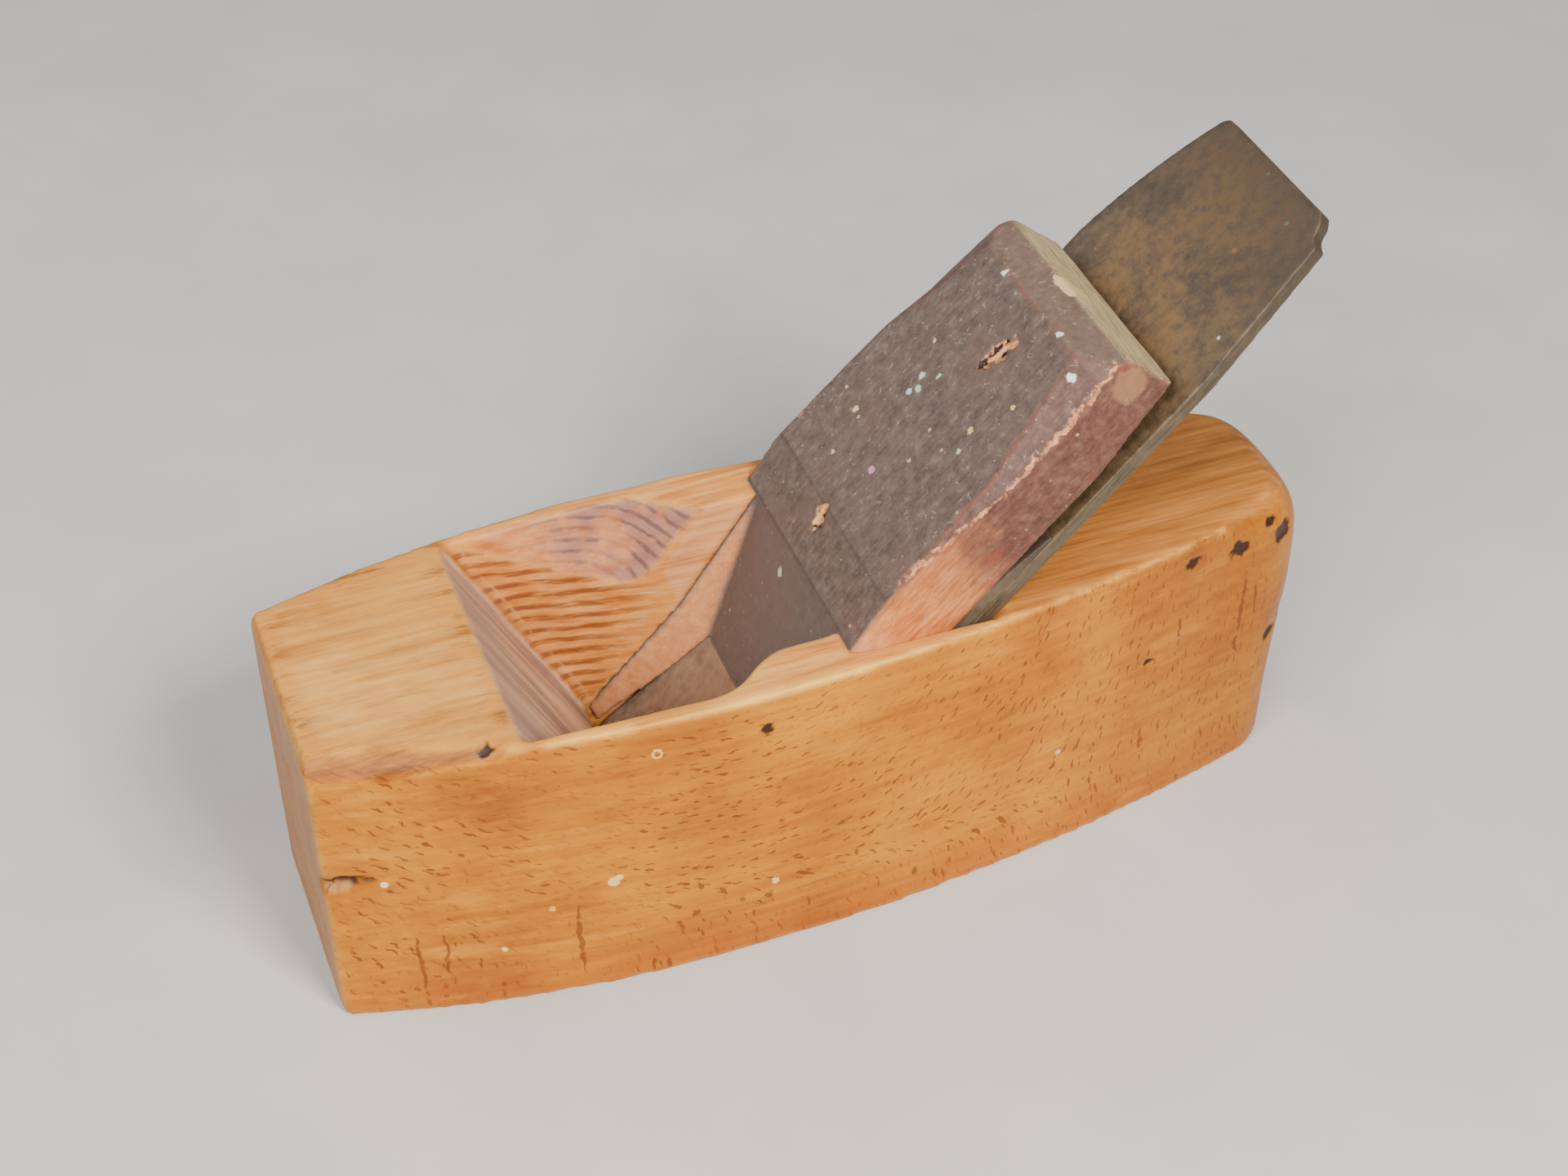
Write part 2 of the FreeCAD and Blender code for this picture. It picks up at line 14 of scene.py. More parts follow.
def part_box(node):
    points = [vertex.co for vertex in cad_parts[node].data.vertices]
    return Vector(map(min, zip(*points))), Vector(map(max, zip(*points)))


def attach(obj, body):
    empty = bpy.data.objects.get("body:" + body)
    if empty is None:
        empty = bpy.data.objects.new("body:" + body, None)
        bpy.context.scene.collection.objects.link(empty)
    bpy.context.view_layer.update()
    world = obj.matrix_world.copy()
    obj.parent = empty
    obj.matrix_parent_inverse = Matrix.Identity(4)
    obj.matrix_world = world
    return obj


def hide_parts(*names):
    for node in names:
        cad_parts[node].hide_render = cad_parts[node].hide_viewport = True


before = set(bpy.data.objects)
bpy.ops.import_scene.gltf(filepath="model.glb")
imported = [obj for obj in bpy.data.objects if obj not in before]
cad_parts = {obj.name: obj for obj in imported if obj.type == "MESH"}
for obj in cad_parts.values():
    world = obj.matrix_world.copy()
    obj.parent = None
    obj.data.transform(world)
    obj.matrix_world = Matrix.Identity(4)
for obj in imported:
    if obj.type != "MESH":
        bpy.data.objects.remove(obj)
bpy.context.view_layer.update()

MM = 0.001


def box_of(node):
    """A CAD node's lowest and highest corners, in mm."""
    return [np.array(corner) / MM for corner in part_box(node)]


_, HALF_WIDTH, HEIGHT = box_of("stock")[1]
BED_TURN = math.radians(45)
ALONG = np.array([math.cos(BED_TURN), 0, math.sin(BED_TURN)])   # up the iron
OUT = np.array([-math.sin(BED_TURN), 0, math.cos(BED_TURN)])    # off the iron's front face
EDGE = box_of("cutting_iron")[0] * (1, 0, 1)    # the middle of the cutting edge
BREAST_TURN = math.radians(62.5)
BREAST_NORMAL = np.array([math.sin(BREAST_TURN), 0, math.cos(BREAST_TURN)])
BREAST_TOP = np.array([-64.2, 0, HEIGHT])       # the throat's top front edge
CONTACT_TURN = math.radians(54.1)               # the slope of the faces that hold the wedge
CONTACT_NORMAL = np.array([math.sin(CONTACT_TURN), 0, -math.cos(CONTACT_TURN)])
CONTACT_TOP = (-0.4, 0, HEIGHT)                 # their top edge
WIDEST_X = -25.6                                # where the stock is widest
FRONT_BOW = 263.5                               # radius of the sides before that
CHEEK_Y = 29.3                                  # just inside the throat's cheeks
THROAT_START, THROAT_END = -66, 32              # the throat and bed, along X
STOCK_GRID, WEDGE_GRID = 0.75, 0.5              # how finely they are meshed


def on_iron(up, side, out):
    """A place given by the iron: up from its edge, to one side, and off its front face."""
    return EDGE + up * ALONG + np.array([0, side, 0]) + out * OUT


# ---------------- camera, light and floor

def add_object(name, data):
    """A new object in the scene."""
    added = bpy.data.objects.new(name, data)
    bpy.context.scene.collection.objects.link(added)
    return added


def add_camera():
    """The camera stands at the toe's near side and looks down on the plane."""
    azimuth, elevation, roll = (math.radians(angle) for angle in (-19.835, 40.153, -0.922))
    back = Vector((math.sin(azimuth) * math.cos(elevation),
                   -math.cos(azimuth) * math.cos(elevation), math.sin(elevation)))
    right = Vector((math.cos(azimuth), math.sin(azimuth), 0))
    up = back.cross(right)
    turned_right = math.cos(roll) * right + math.sin(roll) * up
    turned_up = math.cos(roll) * up - math.sin(roll) * right
    camera = add_object("camera", bpy.data.cameras.new("camera"))
    camera.data.lens = 63.79
    camera.data.sensor_width = 36
    camera.data.clip_start = 0.01
    turn = Matrix((turned_right, turned_up, back)).transposed().to_4x4()
    camera.matrix_world = Matrix.Translation(Vector((-142.6, -386.3, 405.9)) * MM) @ turn
    bpy.context.scene.camera = camera


def add_area_light(name, place, size, power, colour):
    """A square soft box that faces the plane."""
    light = bpy.data.lights.new(name, "AREA")
    light.size = size
    light.energy = power
    light.color = colour
    lamp = add_object(name, light)
    lamp.location = place
    aim = Vector((0, 0, 0.04)) - Vector(place)
    lamp.rotation_euler = aim.to_track_quat("-Z", "Y").to_euler()


def add_studio():
    """A pale floor, a key light from the near side, two weaker fills and an even sky."""
    world = bpy.data.worlds.new("studio")
    bpy.context.scene.world = world
    world.use_nodes = True
    background = world.node_tree.nodes["Background"]
    background.inputs["Color"].default_value = (1.0, 0.98, 0.95, 1)
    background.inputs["Strength"].default_value = 0.31
    add_area_light("key", (0.17, -0.68, 0.72), 0.3, 12, (1.0, 0.96, 0.9))
    add_area_light("front_fill", (-0.55, -0.5, 0.75), 0.5, 7.2, (1.0, 0.97, 0.93))
    add_area_light("back_fill", (-0.6, 0.5, 0.6), 0.7, 2.4, (0.97, 0.98, 1.0))
    mesh = bpy.data.meshes.new("floor")
    reach, below = 3.0, -0.0001
    mesh.from_pydata([(-reach, -reach, below), (reach, -reach, below),
                      (reach, reach, below), (-reach, reach, below)], [], [(0, 1, 2, 3)])
    paper = Graph("pale_paper")
    tone = paper.noise(paper.mm, 0.02, detail=3)
    paper.finish(paper.ramp(tone, [(0.3, (204, 203, 201)), (0.7, (213, 212, 209))]), 0.9)
    mesh.materials.append(paper.material)
    add_object("floor", mesh)


# ---------------- material graphs

def linear(colour):
    """A colour given as 0 to 255 sRGB numbers, in the linear form that the nodes take."""
    parts = [part / 255 for part in colour]
    return [part / 12.92 if part <= 0.04045 else ((part + 0.055) / 1.055) ** 2.4
            for part in parts] + [1.0]


class Graph:
    """One material's nodes. Sockets stand for patterns, and numbers or colours for themselves."""

    def __init__(self, name):
        self.material = bpy.data.materials.new(name)
        self.material.use_nodes = True
        self.tree = self.material.node_tree
        self.shader = self.tree.nodes["Principled BSDF"]
        coordinates = self.node("TexCoord")
        self.mm = self.vector("SCALE", coordinates.outputs["Object"], scale=1 / MM)
        self.normal = coordinates.outputs["Normal"]

    def node(self, kind):
        """A new node of the kind whose Blender name is ShaderNode and this."""
        return self.tree.nodes.new("ShaderNode" + kind)

    def put(self, socket, value):
        """Link a socket, or set a number, a vector or a colour."""
        if isinstance(value, bpy.types.NodeSocket):
            self.tree.links.new(value, socket)
        elif isinstance(value, tuple) and socket.type == "RGBA":
            socket.default_value = linear(value)
        else:
            socket.default_value = value

    def vector(self, operation, first, second=None, scale=None):
        """One step of vector arithmetic."""
        node = self.node("VectorMath")
        node.operation = operation
        self.put(node.inputs[0], first)
        if second is not None:
            self.put(node.inputs[1], second)
        if scale is not None:
            self.put(node.inputs["Scale"], scale)
        return node.outputs["Value" if operation in ("LENGTH", "DOT_PRODUCT") else "Vector"]

    def math(self, operation, first, second=0.0):
        """One step of arithmetic."""
        node = self.node("Math")
        node.operation = operation
        self.put(node.inputs[0], first)
        self.put(node.inputs[1], second)
        return node.outputs[0]

    def times(self, *values):
        """The product of patterns and numbers."""
        product = values[0]
        for value in values[1:]:
            product = self.math("MULTIPLY", product, value)
        return product

    def plus(self, first, second):
        """The sum of two patterns or numbers."""
        return self.math("ADD", first, second)

    def minus(self, first, second):
        """The first pattern or number less the second."""
        return self.math("SUBTRACT", first, second)

    def parts(self, vector):
        """A vector's X, Y and Z."""
        node = self.node("SeparateXYZ")
        self.put(node.inputs[0], vector)
        return node.outputs[0], node.outputs[1], node.outputs[2]

    def joined(self, x, y, z=0.0):
        """A vector made of its X, Y and Z."""
        node = self.node("CombineXYZ")
        for socket, value in zip(node.inputs, (x, y, z)):
            self.put(socket, value)
        return node.outputs[0]

    def band(self, value, start, end, low=0.0, high=1.0):
        """A smooth rise from low at start to high at end."""
        node = self.node("MapRange")
        node.interpolation_type = "SMOOTHSTEP"
        for socket, number in zip(node.inputs, (value, start, end, low, high)):
            self.put(socket, number)
        return node.outputs[0]

    def noise(self, vector, scale, detail=4.0, roughness=0.55, bend=0.0):
        """Smooth noise around 0.5, with features of about one over the scale."""
        node = self.node("TexNoise")
        self.put(node.inputs["Vector"], vector)
        for name, number in (("Scale", scale), ("Detail", detail),
                             ("Roughness", roughness), ("Distortion", bend)):
            self.put(node.inputs[name], number)
        return node.outputs["Fac"]

    def ramp(self, value, stops):
        """A colour for each value, blended between the stops."""
        node = self.node("ValToRGB")
        self.put(node.inputs[0], value)
        elements = node.color_ramp.elements
        while len(elements) < len(stops):
            elements.new(0.5)
        for element, (place, colour) in zip(elements, stops):
            element.position = place
            element.color = linear(colour)
        return node.outputs["Color"]

    def mix(self, share, first, second):
        """The first colour with a share of the second over it."""
        node = self.node("Mix")
        node.data_type = "RGBA"
        for socket, value in ((node.inputs[0], share), (node.inputs[6], first), (node.inputs[7], second)):
            self.put(socket, value)
        return node.outputs[2]

    def mark(self, name):
        """A vertex mark that the mesh code wrote."""
        node = self.node("Attribute")
        node.attribute_name = name
        return node.outputs["Fac"]

    def shaken(self, vector, scale, amount, by=None):
        """The vector pushed about by noise, so that what is drawn on it has uneven outlines."""
        node = self.node("TexNoise")
        self.put(node.inputs["Vector"], vector if by is None else by)
        node.inputs["Scale"].default_value = scale
        push = self.vector("SUBTRACT", node.outputs["Color"], (0.5, 0.5, 0.5))
        return self.vector("ADD", vector, self.vector("SCALE", push, scale=amount))

    def specks(self, vector, cell, radius, keep):
        """Small round spots, one in some of the cells, and a random number for each."""
        node = self.node("TexVoronoi")
        self.put(node.inputs["Vector"], self.shaken(vector, 1.4 / radius, 0.4 * radius))
        node.inputs["Scale"].default_value = 1 / cell
        spot = self.band(node.outputs["Distance"], radius / cell, radius / cell * 0.6)
        pick = self.parts(node.outputs["Color"])
        kept = self.math("LESS_THAN", pick[0], keep)
        return self.times(spot, kept), pick[1]

    def sprinkle(self, colour, vector, kinds, strength):
        """The colour with specks over it: each kind's cell, radius, share kept and colours."""
        for cell, radius, keep, stops in kinds:
            spots, pick = self.specks(vector, cell, radius, keep)
            colour = self.mix(self.times(spots, strength), colour, self.ramp(pick, stops))
        return colour

    def spot(self, vector, place, radius, ring=0.0):
        """A round spot at a place, or a ring when its inner radius is given."""
        distance = self.vector("LENGTH", self.vector("SUBTRACT", vector, place))
        shape = self.band(distance, radius, radius * 0.7)
        if ring:
            shape = self.times(shape, self.band(distance, ring * 0.7, ring))
        return shape

    def line(self, vector, start, end, half_width):
        """A straight mark from start to end that thins out towards both."""
        span = Vector(end) - Vector(start)
        offset = self.vector("SUBTRACT", vector, start)
        share = self.math("DIVIDE", self.vector("DOT_PRODUCT", offset, tuple(span)), span.length_squared)
        held = self.math("MINIMUM", self.math("MAXIMUM", share, 0.0), 1.0)
        foot = self.vector("SCALE", tuple(span), scale=held)
        distance = self.vector("LENGTH", self.vector("SUBTRACT", offset, foot))
        from_middle = self.math("ABSOLUTE", self.minus(self.times(held, 2.0), 1.0))
        taper = self.minus(1.0, self.math("POWER", from_middle, 3.0))
        return self.band(self.minus(self.times(taper, half_width), distance), -0.05, 0.1)

    def most(self, shapes):
        """The largest of several patterns at each place."""
        total = shapes[0]
        for shape in shapes[1:]:
            total = self.math("MAXIMUM", total, shape)
        return total

    def iron_places(self):
        """How far up the iron, to the side and off its face a place is."""
        up = self.minus(self.vector("DOT_PRODUCT", self.mm, tuple(ALONG)), float(EDGE @ ALONG))
        out = self.minus(self.vector("DOT_PRODUCT", self.mm, tuple(OUT)), float(EDGE @ OUT))
        return up, self.parts(self.mm)[1], out

    def strokes(self, plane, cell, angle, length, width, keep):
        """Short strokes scattered on a plane, turned by angle, one in some of the cells."""
        node = self.node("TexVoronoi")
        node.voronoi_dimensions = "2D"
        self.put(node.inputs["Vector"], plane)
        node.inputs["Scale"].default_value = 1 / cell
        offset = self.vector("SUBTRACT", plane, node.outputs["Position"])
        turn = self.node("VectorRotate")
        turn.rotation_type = "Z_AXIS"
        self.put(turn.inputs["Vector"], offset)
        self.put(turn.inputs["Angle"], self.times(angle, -1.0))
        along, across, _ = self.parts(turn.outputs[0])
        pick = self.parts(node.outputs["Color"])
        reach = self.times(length, self.band(pick[1], 0, 1, 0.45, 1.0))
        ratio = self.math("POWER", self.math("DIVIDE", along, reach), 2.0)
        room = self.math("SQRT", self.math("MAXIMUM", self.minus(1.0, ratio), 0.0))
        edge = self.times(room, width)
        inside = self.minus(edge, self.math("ABSOLUTE", across))
        stroke = self.band(inside, -0.02, 0.1)
        return self.times(stroke, self.math("LESS_THAN", pick[0], keep))

    def finish(self, colour, roughness, height=None, bump=0.3, depth=0.05, metallic=0.0,
               specular=0.5):
        """Feed the shader. Depth is the bump's height in mm."""
        self.put(self.shader.inputs["Base Color"], colour)
        self.put(self.shader.inputs["Roughness"], roughness)
        self.put(self.shader.inputs["Metallic"], metallic)
        self.shader.inputs["Specular IOR Level"].default_value = specular
        if height is not None:
            node = self.node("Bump")
            node.inputs["Strength"].default_value = bump
            node.inputs["Distance"].default_value = depth * MM
            self.put(node.inputs["Height"], height)
            self.put(self.shader.inputs["Normal"], node.outputs["Normal"])


# ---------------- mesh work

def read(collection, name, width):
    """A mesh property as an array with one row for each item."""
    values = np.empty(len(collection) * width)
    collection.foreach_get(name, values)
    return values.reshape(-1, width)


def field(points, size, seed):
    """Smooth noise from about -1 to 1 at each point, with features of the given size."""
    falloff, step, octaves = 0.6, 2.1, 2
    return np.array([noise.fractal(Vector(point), falloff, step, octaves)
                     for point in points / size + seed])


def smooth_step(values, start, end):
    """A smooth rise from 0 at start to 1 at end."""
    share = np.clip((values - start) / (end - start), 0, 1)
    return share * share * (3 - 2 * share)


class Skin:
    """A piece's vertices as arrays in mm, for wearing it down and marking it."""

    def __init__(self, piece):
        self.mesh = piece.data
        self.points = read(self.mesh.vertices, "co", 3) / MM
        self.edges = read(self.mesh.edges, "vertices", 2).astype(int)
        self.normals = read(self.mesh.vertices, "normal", 3)
        self.neighbours = np.bincount(self.edges.ravel(), minlength=len(self.points))

    def averaged(self, values):
        """Each vertex's neighbours' mean."""
        first, second = self.edges.T
        columns = values.reshape(len(values), -1).T
        count = len(values)
        sums = [np.bincount(first, column[second], count) + np.bincount(second, column[first], count)
                for column in columns]
        return (np.array(sums) / self.neighbours).T.reshape(values.shape)

    def spread(self, values, rounds):
        """The values blurred over the surface."""
        for _ in range(rounds):
            values = self.averaged(values)
        return values

    def relax(self, rounds, share):
        """Pull each vertex towards its neighbours, by its share."""
        for _ in range(rounds):
            self.points += share[:, None] * (self.averaged(self.points) - self.points)

    def press(self, depth):
        """Push the surface in by a depth for each vertex."""
        self.points -= self.normals * np.maximum(depth, 0)[:, None]

    def dent(self, place, direction, half_length, half_width, depth, seed, ragged=0.25):
        """Press a long hollow into the surface. Returns how far in each vertex lies, 0 to 1."""
        place = self.points[np.argmin(np.linalg.norm(self.points - place, axis=1))]
        offset = self.points - place
        direction = np.array(direction, float) / np.linalg.norm(direction)
        along = offset @ direction
        across = np.linalg.norm(offset - along[:, None] * direction, axis=1)
        near = np.abs(along) < 2 * half_length
        near &= across < 2 * half_width + 1
        share = np.zeros(len(self.points))
        radius = np.hypot(along[near] / half_length, across[near] / half_width)
        radius += ragged * field(self.points[near], 0.5 * half_width + 0.4, seed)
        share[near] = smooth_step(1 - radius, 0, 0.7)
        self.press(share * depth)
        return share

    def mark(self, name, values):
        """Write a number for each vertex that a material can read."""
        layer = self.mesh.attributes.new(name, "FLOAT", "POINT")
        layer.data.foreach_set("value", np.ascontiguousarray(values, np.float32))

    def mark_area(self, name, area, rounds):
        """Mark an area's vertices, blurred at its border."""
        self.mark(name, self.spread(area.astype(float), rounds))

    def write(self, node):
        """Put the points back, held inside the box of the CAD node."""
        points = np.clip(self.points, *box_of(node)) * MM
        self.mesh.vertices.foreach_set("co", points.astype(np.float32).ravel())
        self.mesh.update()


def worn_copy(node, name, grid, turn):
    """A dense copy of a CAD node, meshed on a grid that turn lines up with its main faces."""
    piece = add_object(name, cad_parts[node].data.copy())
    piece.data.materials.clear()
    piece.data.transform(turn)
    remesh = piece.modifiers.new("remesh", "REMESH")
    remesh.mode = "VOXEL"
    remesh.voxel_size = grid * MM
    remesh.use_smooth_shade = True
    graph = bpy.context.evaluated_depsgraph_get()
    dense = bpy.data.meshes.new_from_object(piece.evaluated_get(graph), depsgraph=graph)
    piece.modifiers.clear()
    piece.data = dense
    dense.transform(turn.inverted())
    dense.update()
    return piece


def wear_down(skin, rounds, seed, free=1.0):
    """Round every edge, more in some places than in others, and mark edges and corners."""
    start = skin.points.copy()
    share = 0.55 + 0.4 * field(start, 14, seed)
    skin.relax(rounds, np.clip(share, 0.25, 0.95) * free)
    lost = ((start - skin.points) * skin.normals).sum(axis=1)
    skin.mark("edge", np.clip(lost / 0.3, 0, 1))
    skin.mark("corner", np.clip(-lost / 0.3, 0, 1))
    return lost


def settle(piece, node, body):
    """Hang a piece on the body that it rides on, and hide the CAD node that it replaces."""
    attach(piece, body)
    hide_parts(node)


UPRIGHT = Matrix.Identity(4)
IRON_TURN = Matrix.Rotation(BED_TURN, 4, "Y")


# ---------------- the stock

def bow_half(x):
    """Half the stock's width in front of its widest place."""
    return HALF_WIDTH - FRONT_BOW + np.sqrt(FRONT_BOW ** 2 - (np.minimum(x, WIDEST_X) - WIDEST_X) ** 2)


def mark_stock_faces(skin):
    """Mark which face of the stock each vertex belongs to."""
    x, y, z = skin.points.T
    normal_y, normal_z = skin.normals[:, 1], skin.normals[:, 2]
    inward = -normal_y * np.sign(y)
    top = (normal_z > 0.75) & (z > HEIGHT - 8)
    off_breast = (skin.points - BREAST_TOP) @ BREAST_NORMAL
    faces = {
        "top": top,
        "near": (normal_y < -0.45) & (inward < 0) & ~top,
        "sole": (normal_z < -0.75) & (z < 3),
        "breast": (skin.normals @ BREAST_NORMAL > 0.93) & (x < 0),
        "eye": (inward > 0.6) & (normal_z > 0.2) & (z > 30) & (off_breast > 1.5),
        "cheek": (inward > 0.9) & (x < 5) & (normal_z < 0.2) & (z > 8),
        "end": (np.abs(skin.normals[:, 0]) > 0.8) & (np.abs(x) > 90),
        "bed": (skin.normals @ OUT > 0.9) & (z < HEIGHT - 0.5),
    }
    within = (np.abs(y) < CHEEK_Y) & (x > THROAT_START) & (x < THROAT_END)
    faces["inside"] = within & (np.abs(z - HEIGHT / 2) < HEIGHT / 2 - 1)
    for name, area in faces.items():
        skin.mark_area(name, area, 2)
    skin.mark_area("rim", ~top, 60)


def pare_toe_edge(skin):
    """The near top edge is worn to a slope at the toe. The slope dies out towards the throat."""
    x, y, z = skin.points.T
    widest, ragged = 4.2, 0.5
    width = widest * smooth_step(-x, 50, 98) + ragged * field(skin.points, 9, 21.0)
    excess = -y + z - (bow_half(x) + HEIGHT - np.maximum(width, 0))
    cut = np.where((x < -48) & (y < 0), np.maximum(excess, 0), 0)
    skin.points[:, 1] += cut / 2
    skin.points[:, 2] -= cut / 2
    return cut


def round_heel(skin):
    """Melt the heel's top corner into a large round, and push it back out to its full length."""
    x, _, z = skin.points.T.copy()
    skin.relax(110, 0.9 * smooth_step(x, 80, 92) * smooth_step(z, 40, 54))
    x, _, z = skin.points.T.copy()
    flare = smooth_step(x, 78, 96) * smooth_step(z, 10, 60)
    skin.points += 1.7 * flare[:, None] * skin.spread(skin.normals, 20)


def wear_stock(skin, free):
    """Round the edges, ease the creases, calm the faces and nibble the worn edges."""
    lost = wear_down(skin, 6, 3.1, free)
    crease = skin.spread(smooth_step(-lost, 0.02, 0.12), 2)
    skin.relax(12, np.minimum(2 * crease, 0.9) * free)
    near_edge = skin.spread(np.minimum(np.abs(lost) / 0.02, 1), 6)
    calm = (1 - smooth_step(near_edge, 0.02, 0.3)) * free
    skin.relax(50, 0.9 * calm)
    nibble = smooth_step(field(skin.points, 2.6, 7.7), 0.3, 0.7) * smooth_step(lost, 0.08, 0.3)
    skin.press(0.22 * nibble * free)
    skin.press(0.06 * (field(skin.points, 16, 1.3) + 1) * calm)


def knock_stock(skin):
    """Press in the split at the toe, the one at the heel and the bruises, and mark them."""
    toe_split = skin.dent((-101.5, -24, 35.4), (1, -0.3, 0.12), 9.5, 2.6, 2.4, seed=2.0)
    heel_split = skin.dent((101, -15.2, 34), (0, 0.2, 1), 2.8, 2.6, 1.6, seed=5.0)
    skin.mark("chip", np.maximum(toe_split, heel_split))
    bruise = np.zeros(len(skin.points))
    for place, size in BRUISES:
        hit = skin.dent(place, (1, 0.15, 0.2), 1.6 * size, 1.2 * size, 0.6, seed=size, ragged=0.5)
        bruise = np.maximum(bruise, hit)
    skin.mark("bruise", bruise)


def make_stock():
    """The stock, worn everywhere but where the wedge and the irons bear on it."""
    piece = worn_copy("stock", "worn_stock", STOCK_GRID, UPRIGHT)
    skin = Skin(piece)
    mark_stock_faces(skin)
    from_contact = np.abs((skin.points - CONTACT_TOP) @ CONTACT_NORMAL)
    inside = np.abs(skin.points[:, 1]) < CHEEK_Y - 0.3
    free = np.where(inside, smooth_step(from_contact, 0.5, 2.5), 1.0)
    pared = pare_toe_edge(skin)
    round_heel(skin)
    wear_stock(skin, free)
    skin.mark("pared", skin.spread(np.minimum(pared, 1), 1))
    knock_stock(skin)
    skin.write("stock")
    piece.data.materials.append(beech())
    settle(piece, "stock", "stock")


ARC_PITCH = 2.9                   # from one stain arc in the eyes to the next
STRIPE_PITCH = 3.3                # from one dark band on the cheeks to the next

# dents with dirt in them, on the near side and the heel, and how big each is
BRUISES = [
    ((-70.7, -29.5, 65.4), 1.4), ((-19.3, -34.2, 57.4), 1.2), ((84.7, -20, 59.1), 2.0),
    ((95.5, -17, 58.0), 2.2), ((92, -17.5, 61.5), 1.1), ((96, -17, 31.1), 1.7),
    ((64.2, -25.2, 39.1), 0.9), ((73.5, -23, 60.5), 1.3),
]

# paint drips on the near side: x, z, radius, inner radius and colour
DRIPS = [
    (-91.7, 35.4, 0.9, 0, (240, 220, 168)), (-50.1, 27.8, 1.4, 0, (238, 206, 130)),
    (-48.9, 28.6, 0.8, 0, (238, 206, 130)), (-18.3, 17.2, 0.9, 0, (238, 206, 134)),
    (-71.6, 14.6, 0.7, 0, (238, 206, 120)), (-40.4, 58.0, 1.3, 0.8, (244, 206, 110)),
    (43.5, 25.3, 0.8, 0, (236, 178, 150)), (-62.0, 23.5, 0.8, 0, (238, 168, 60)),
]

# dark marks on the near side: x and z of both ends, and half the width
SCORES = [
    (-87.6, 22, -86.6, 3, 0.5), (-82.4, 23, -82.0, 7, 0.4), (-57.2, 24, -56.6, 4, 0.6),
    (-34.0, 22.5, -33.2, 20, 0.6), (-34.6, 15, -34.2, 13.6, 0.9), (-29.2, 20, -28.2, 17, 0.5),
    (-20.4, 14.2, -18.4, 13.6, 0.7), (-1.6, 19, -0.8, 16.6, 0.4), (-40.6, 4, -40.0, 0.6, 0.5),
    (-43.8, 5, -43.2, 1, 0.4), (16.0, 6, 16.4, 3, 0.4), (87.0, 54, 86.4, 25, 0.5),
    (90.0, 49, 89.8, 41, 0.4), (71.5, 50, 71.2, 38, 0.34), (-22.8, 21, -22.0, 19.6, 0.45),
]


class Beech(Graph):
    """Beech's nodes, with the patterns that its faces share."""

    def __init__(self, name):
        super().__init__(name)
        self.x, self.y, self.z = self.parts(self.mm)
        self.grain = self.noise(self.stretched(0.06), 0.55, detail=6, roughness=0.65)
        self.fine = self.noise(self.stretched(0.12), 3.2, detail=3)
        self.cloud = self.noise(self.mm, 0.035, detail=4, roughness=0.6)
        self.blotch = self.noise(self.mm, 0.14, detail=5, roughness=0.65)

    def stretched(self, share):
        """Places squeezed along the grain, so that noise made from them runs lengthwise."""
        return self.vector("MULTIPLY", self.mm, (share, 1.0, 1.0))


def beech():
    """Oiled beech. Each face has its own look, some with painted shade and highlights, and the wear, a
    painted edge highlight, darker corners and the dirt lie over them all.
    """
    wood = Beech("oiled_beech")
    flecks, drawn = ray_flecks(wood)
    throat = wood.ramp(wood.grain, [(0.3, (186, 120, 66)), (0.5, (216, 150, 90)), (0.7, (232, 174, 116))])
    colour = wood.mix(wood.mark("inside"), oiled_side(wood, flecks), throat)
    for mark, face in (("top", worn_top), ("breast", stained_breast),
                       ("eye", stained_eye), ("cheek", striped_cheek)):
        colour = wood.mix(wood.mark(mark), colour, face(wood))
    colour = plain_faces(wood, colour)
    colour = edge_wear_and_highlight(wood, colour)
    colour = knocks_and_drips(wood, colour, drawn)
    rough = wood.plus(wood.band(wood.blotch, 0.3, 0.7, 0.34, 0.48), wood.times(wood.mark("top"), 0.12))
    relief = wood.plus(wood.times(wood.grain, 0.5), wood.times(wood.fine, 0.3))
    relief = wood.minus(relief, wood.times(wood.most([flecks, drawn]), 0.3))
    wood.finish(colour, rough, relief, bump=0.4, depth=0.2, specular=0.3)
    return wood.material


def oiled_side(wood, flecks):
    """The sides: amber, mottled and flecked, with painted shade that makes them redder and darker at the
    foot and browner towards the heel.
    """
    tone = wood.plus(wood.times(wood.cloud, 0.6), wood.times(wood.grain, 0.4))
    side = wood.ramp(tone, [(0.36, (156, 82, 0)), (0.46, (184, 106, 0)),
                            (0.54, (200, 122, 0)), (0.66, (218, 144, 8))])
    side = wood.mix(wood.band(wood.blotch, 0.5, 0.72, 0, 0.4), side, (160, 82, 0))
    side = wood.mix(wood.times(flecks, 0.8), side, (116, 42, 0))
    # painted shade: darker and redder towards the foot of the side, in blotches
    foot = wood.times(wood.band(wood.z, 16, 2), wood.band(wood.blotch, 0.35, 0.6, 0.2, 0.6))
    side = wood.mix(foot, side, (176, 84, 4))
    streaks = wood.noise(wood.stretched(0.05), 0.22, detail=3)
    side = wood.mix(wood.band(streaks, 0.55, 0.72, 0, 0.4), side, (238, 160, 40))
    # painted shade: the side darkens towards the heel, where the light fell off
    return wood.mix(wood.band(wood.x, 30, 98, 0, 0.4), side, (128, 72, 4))


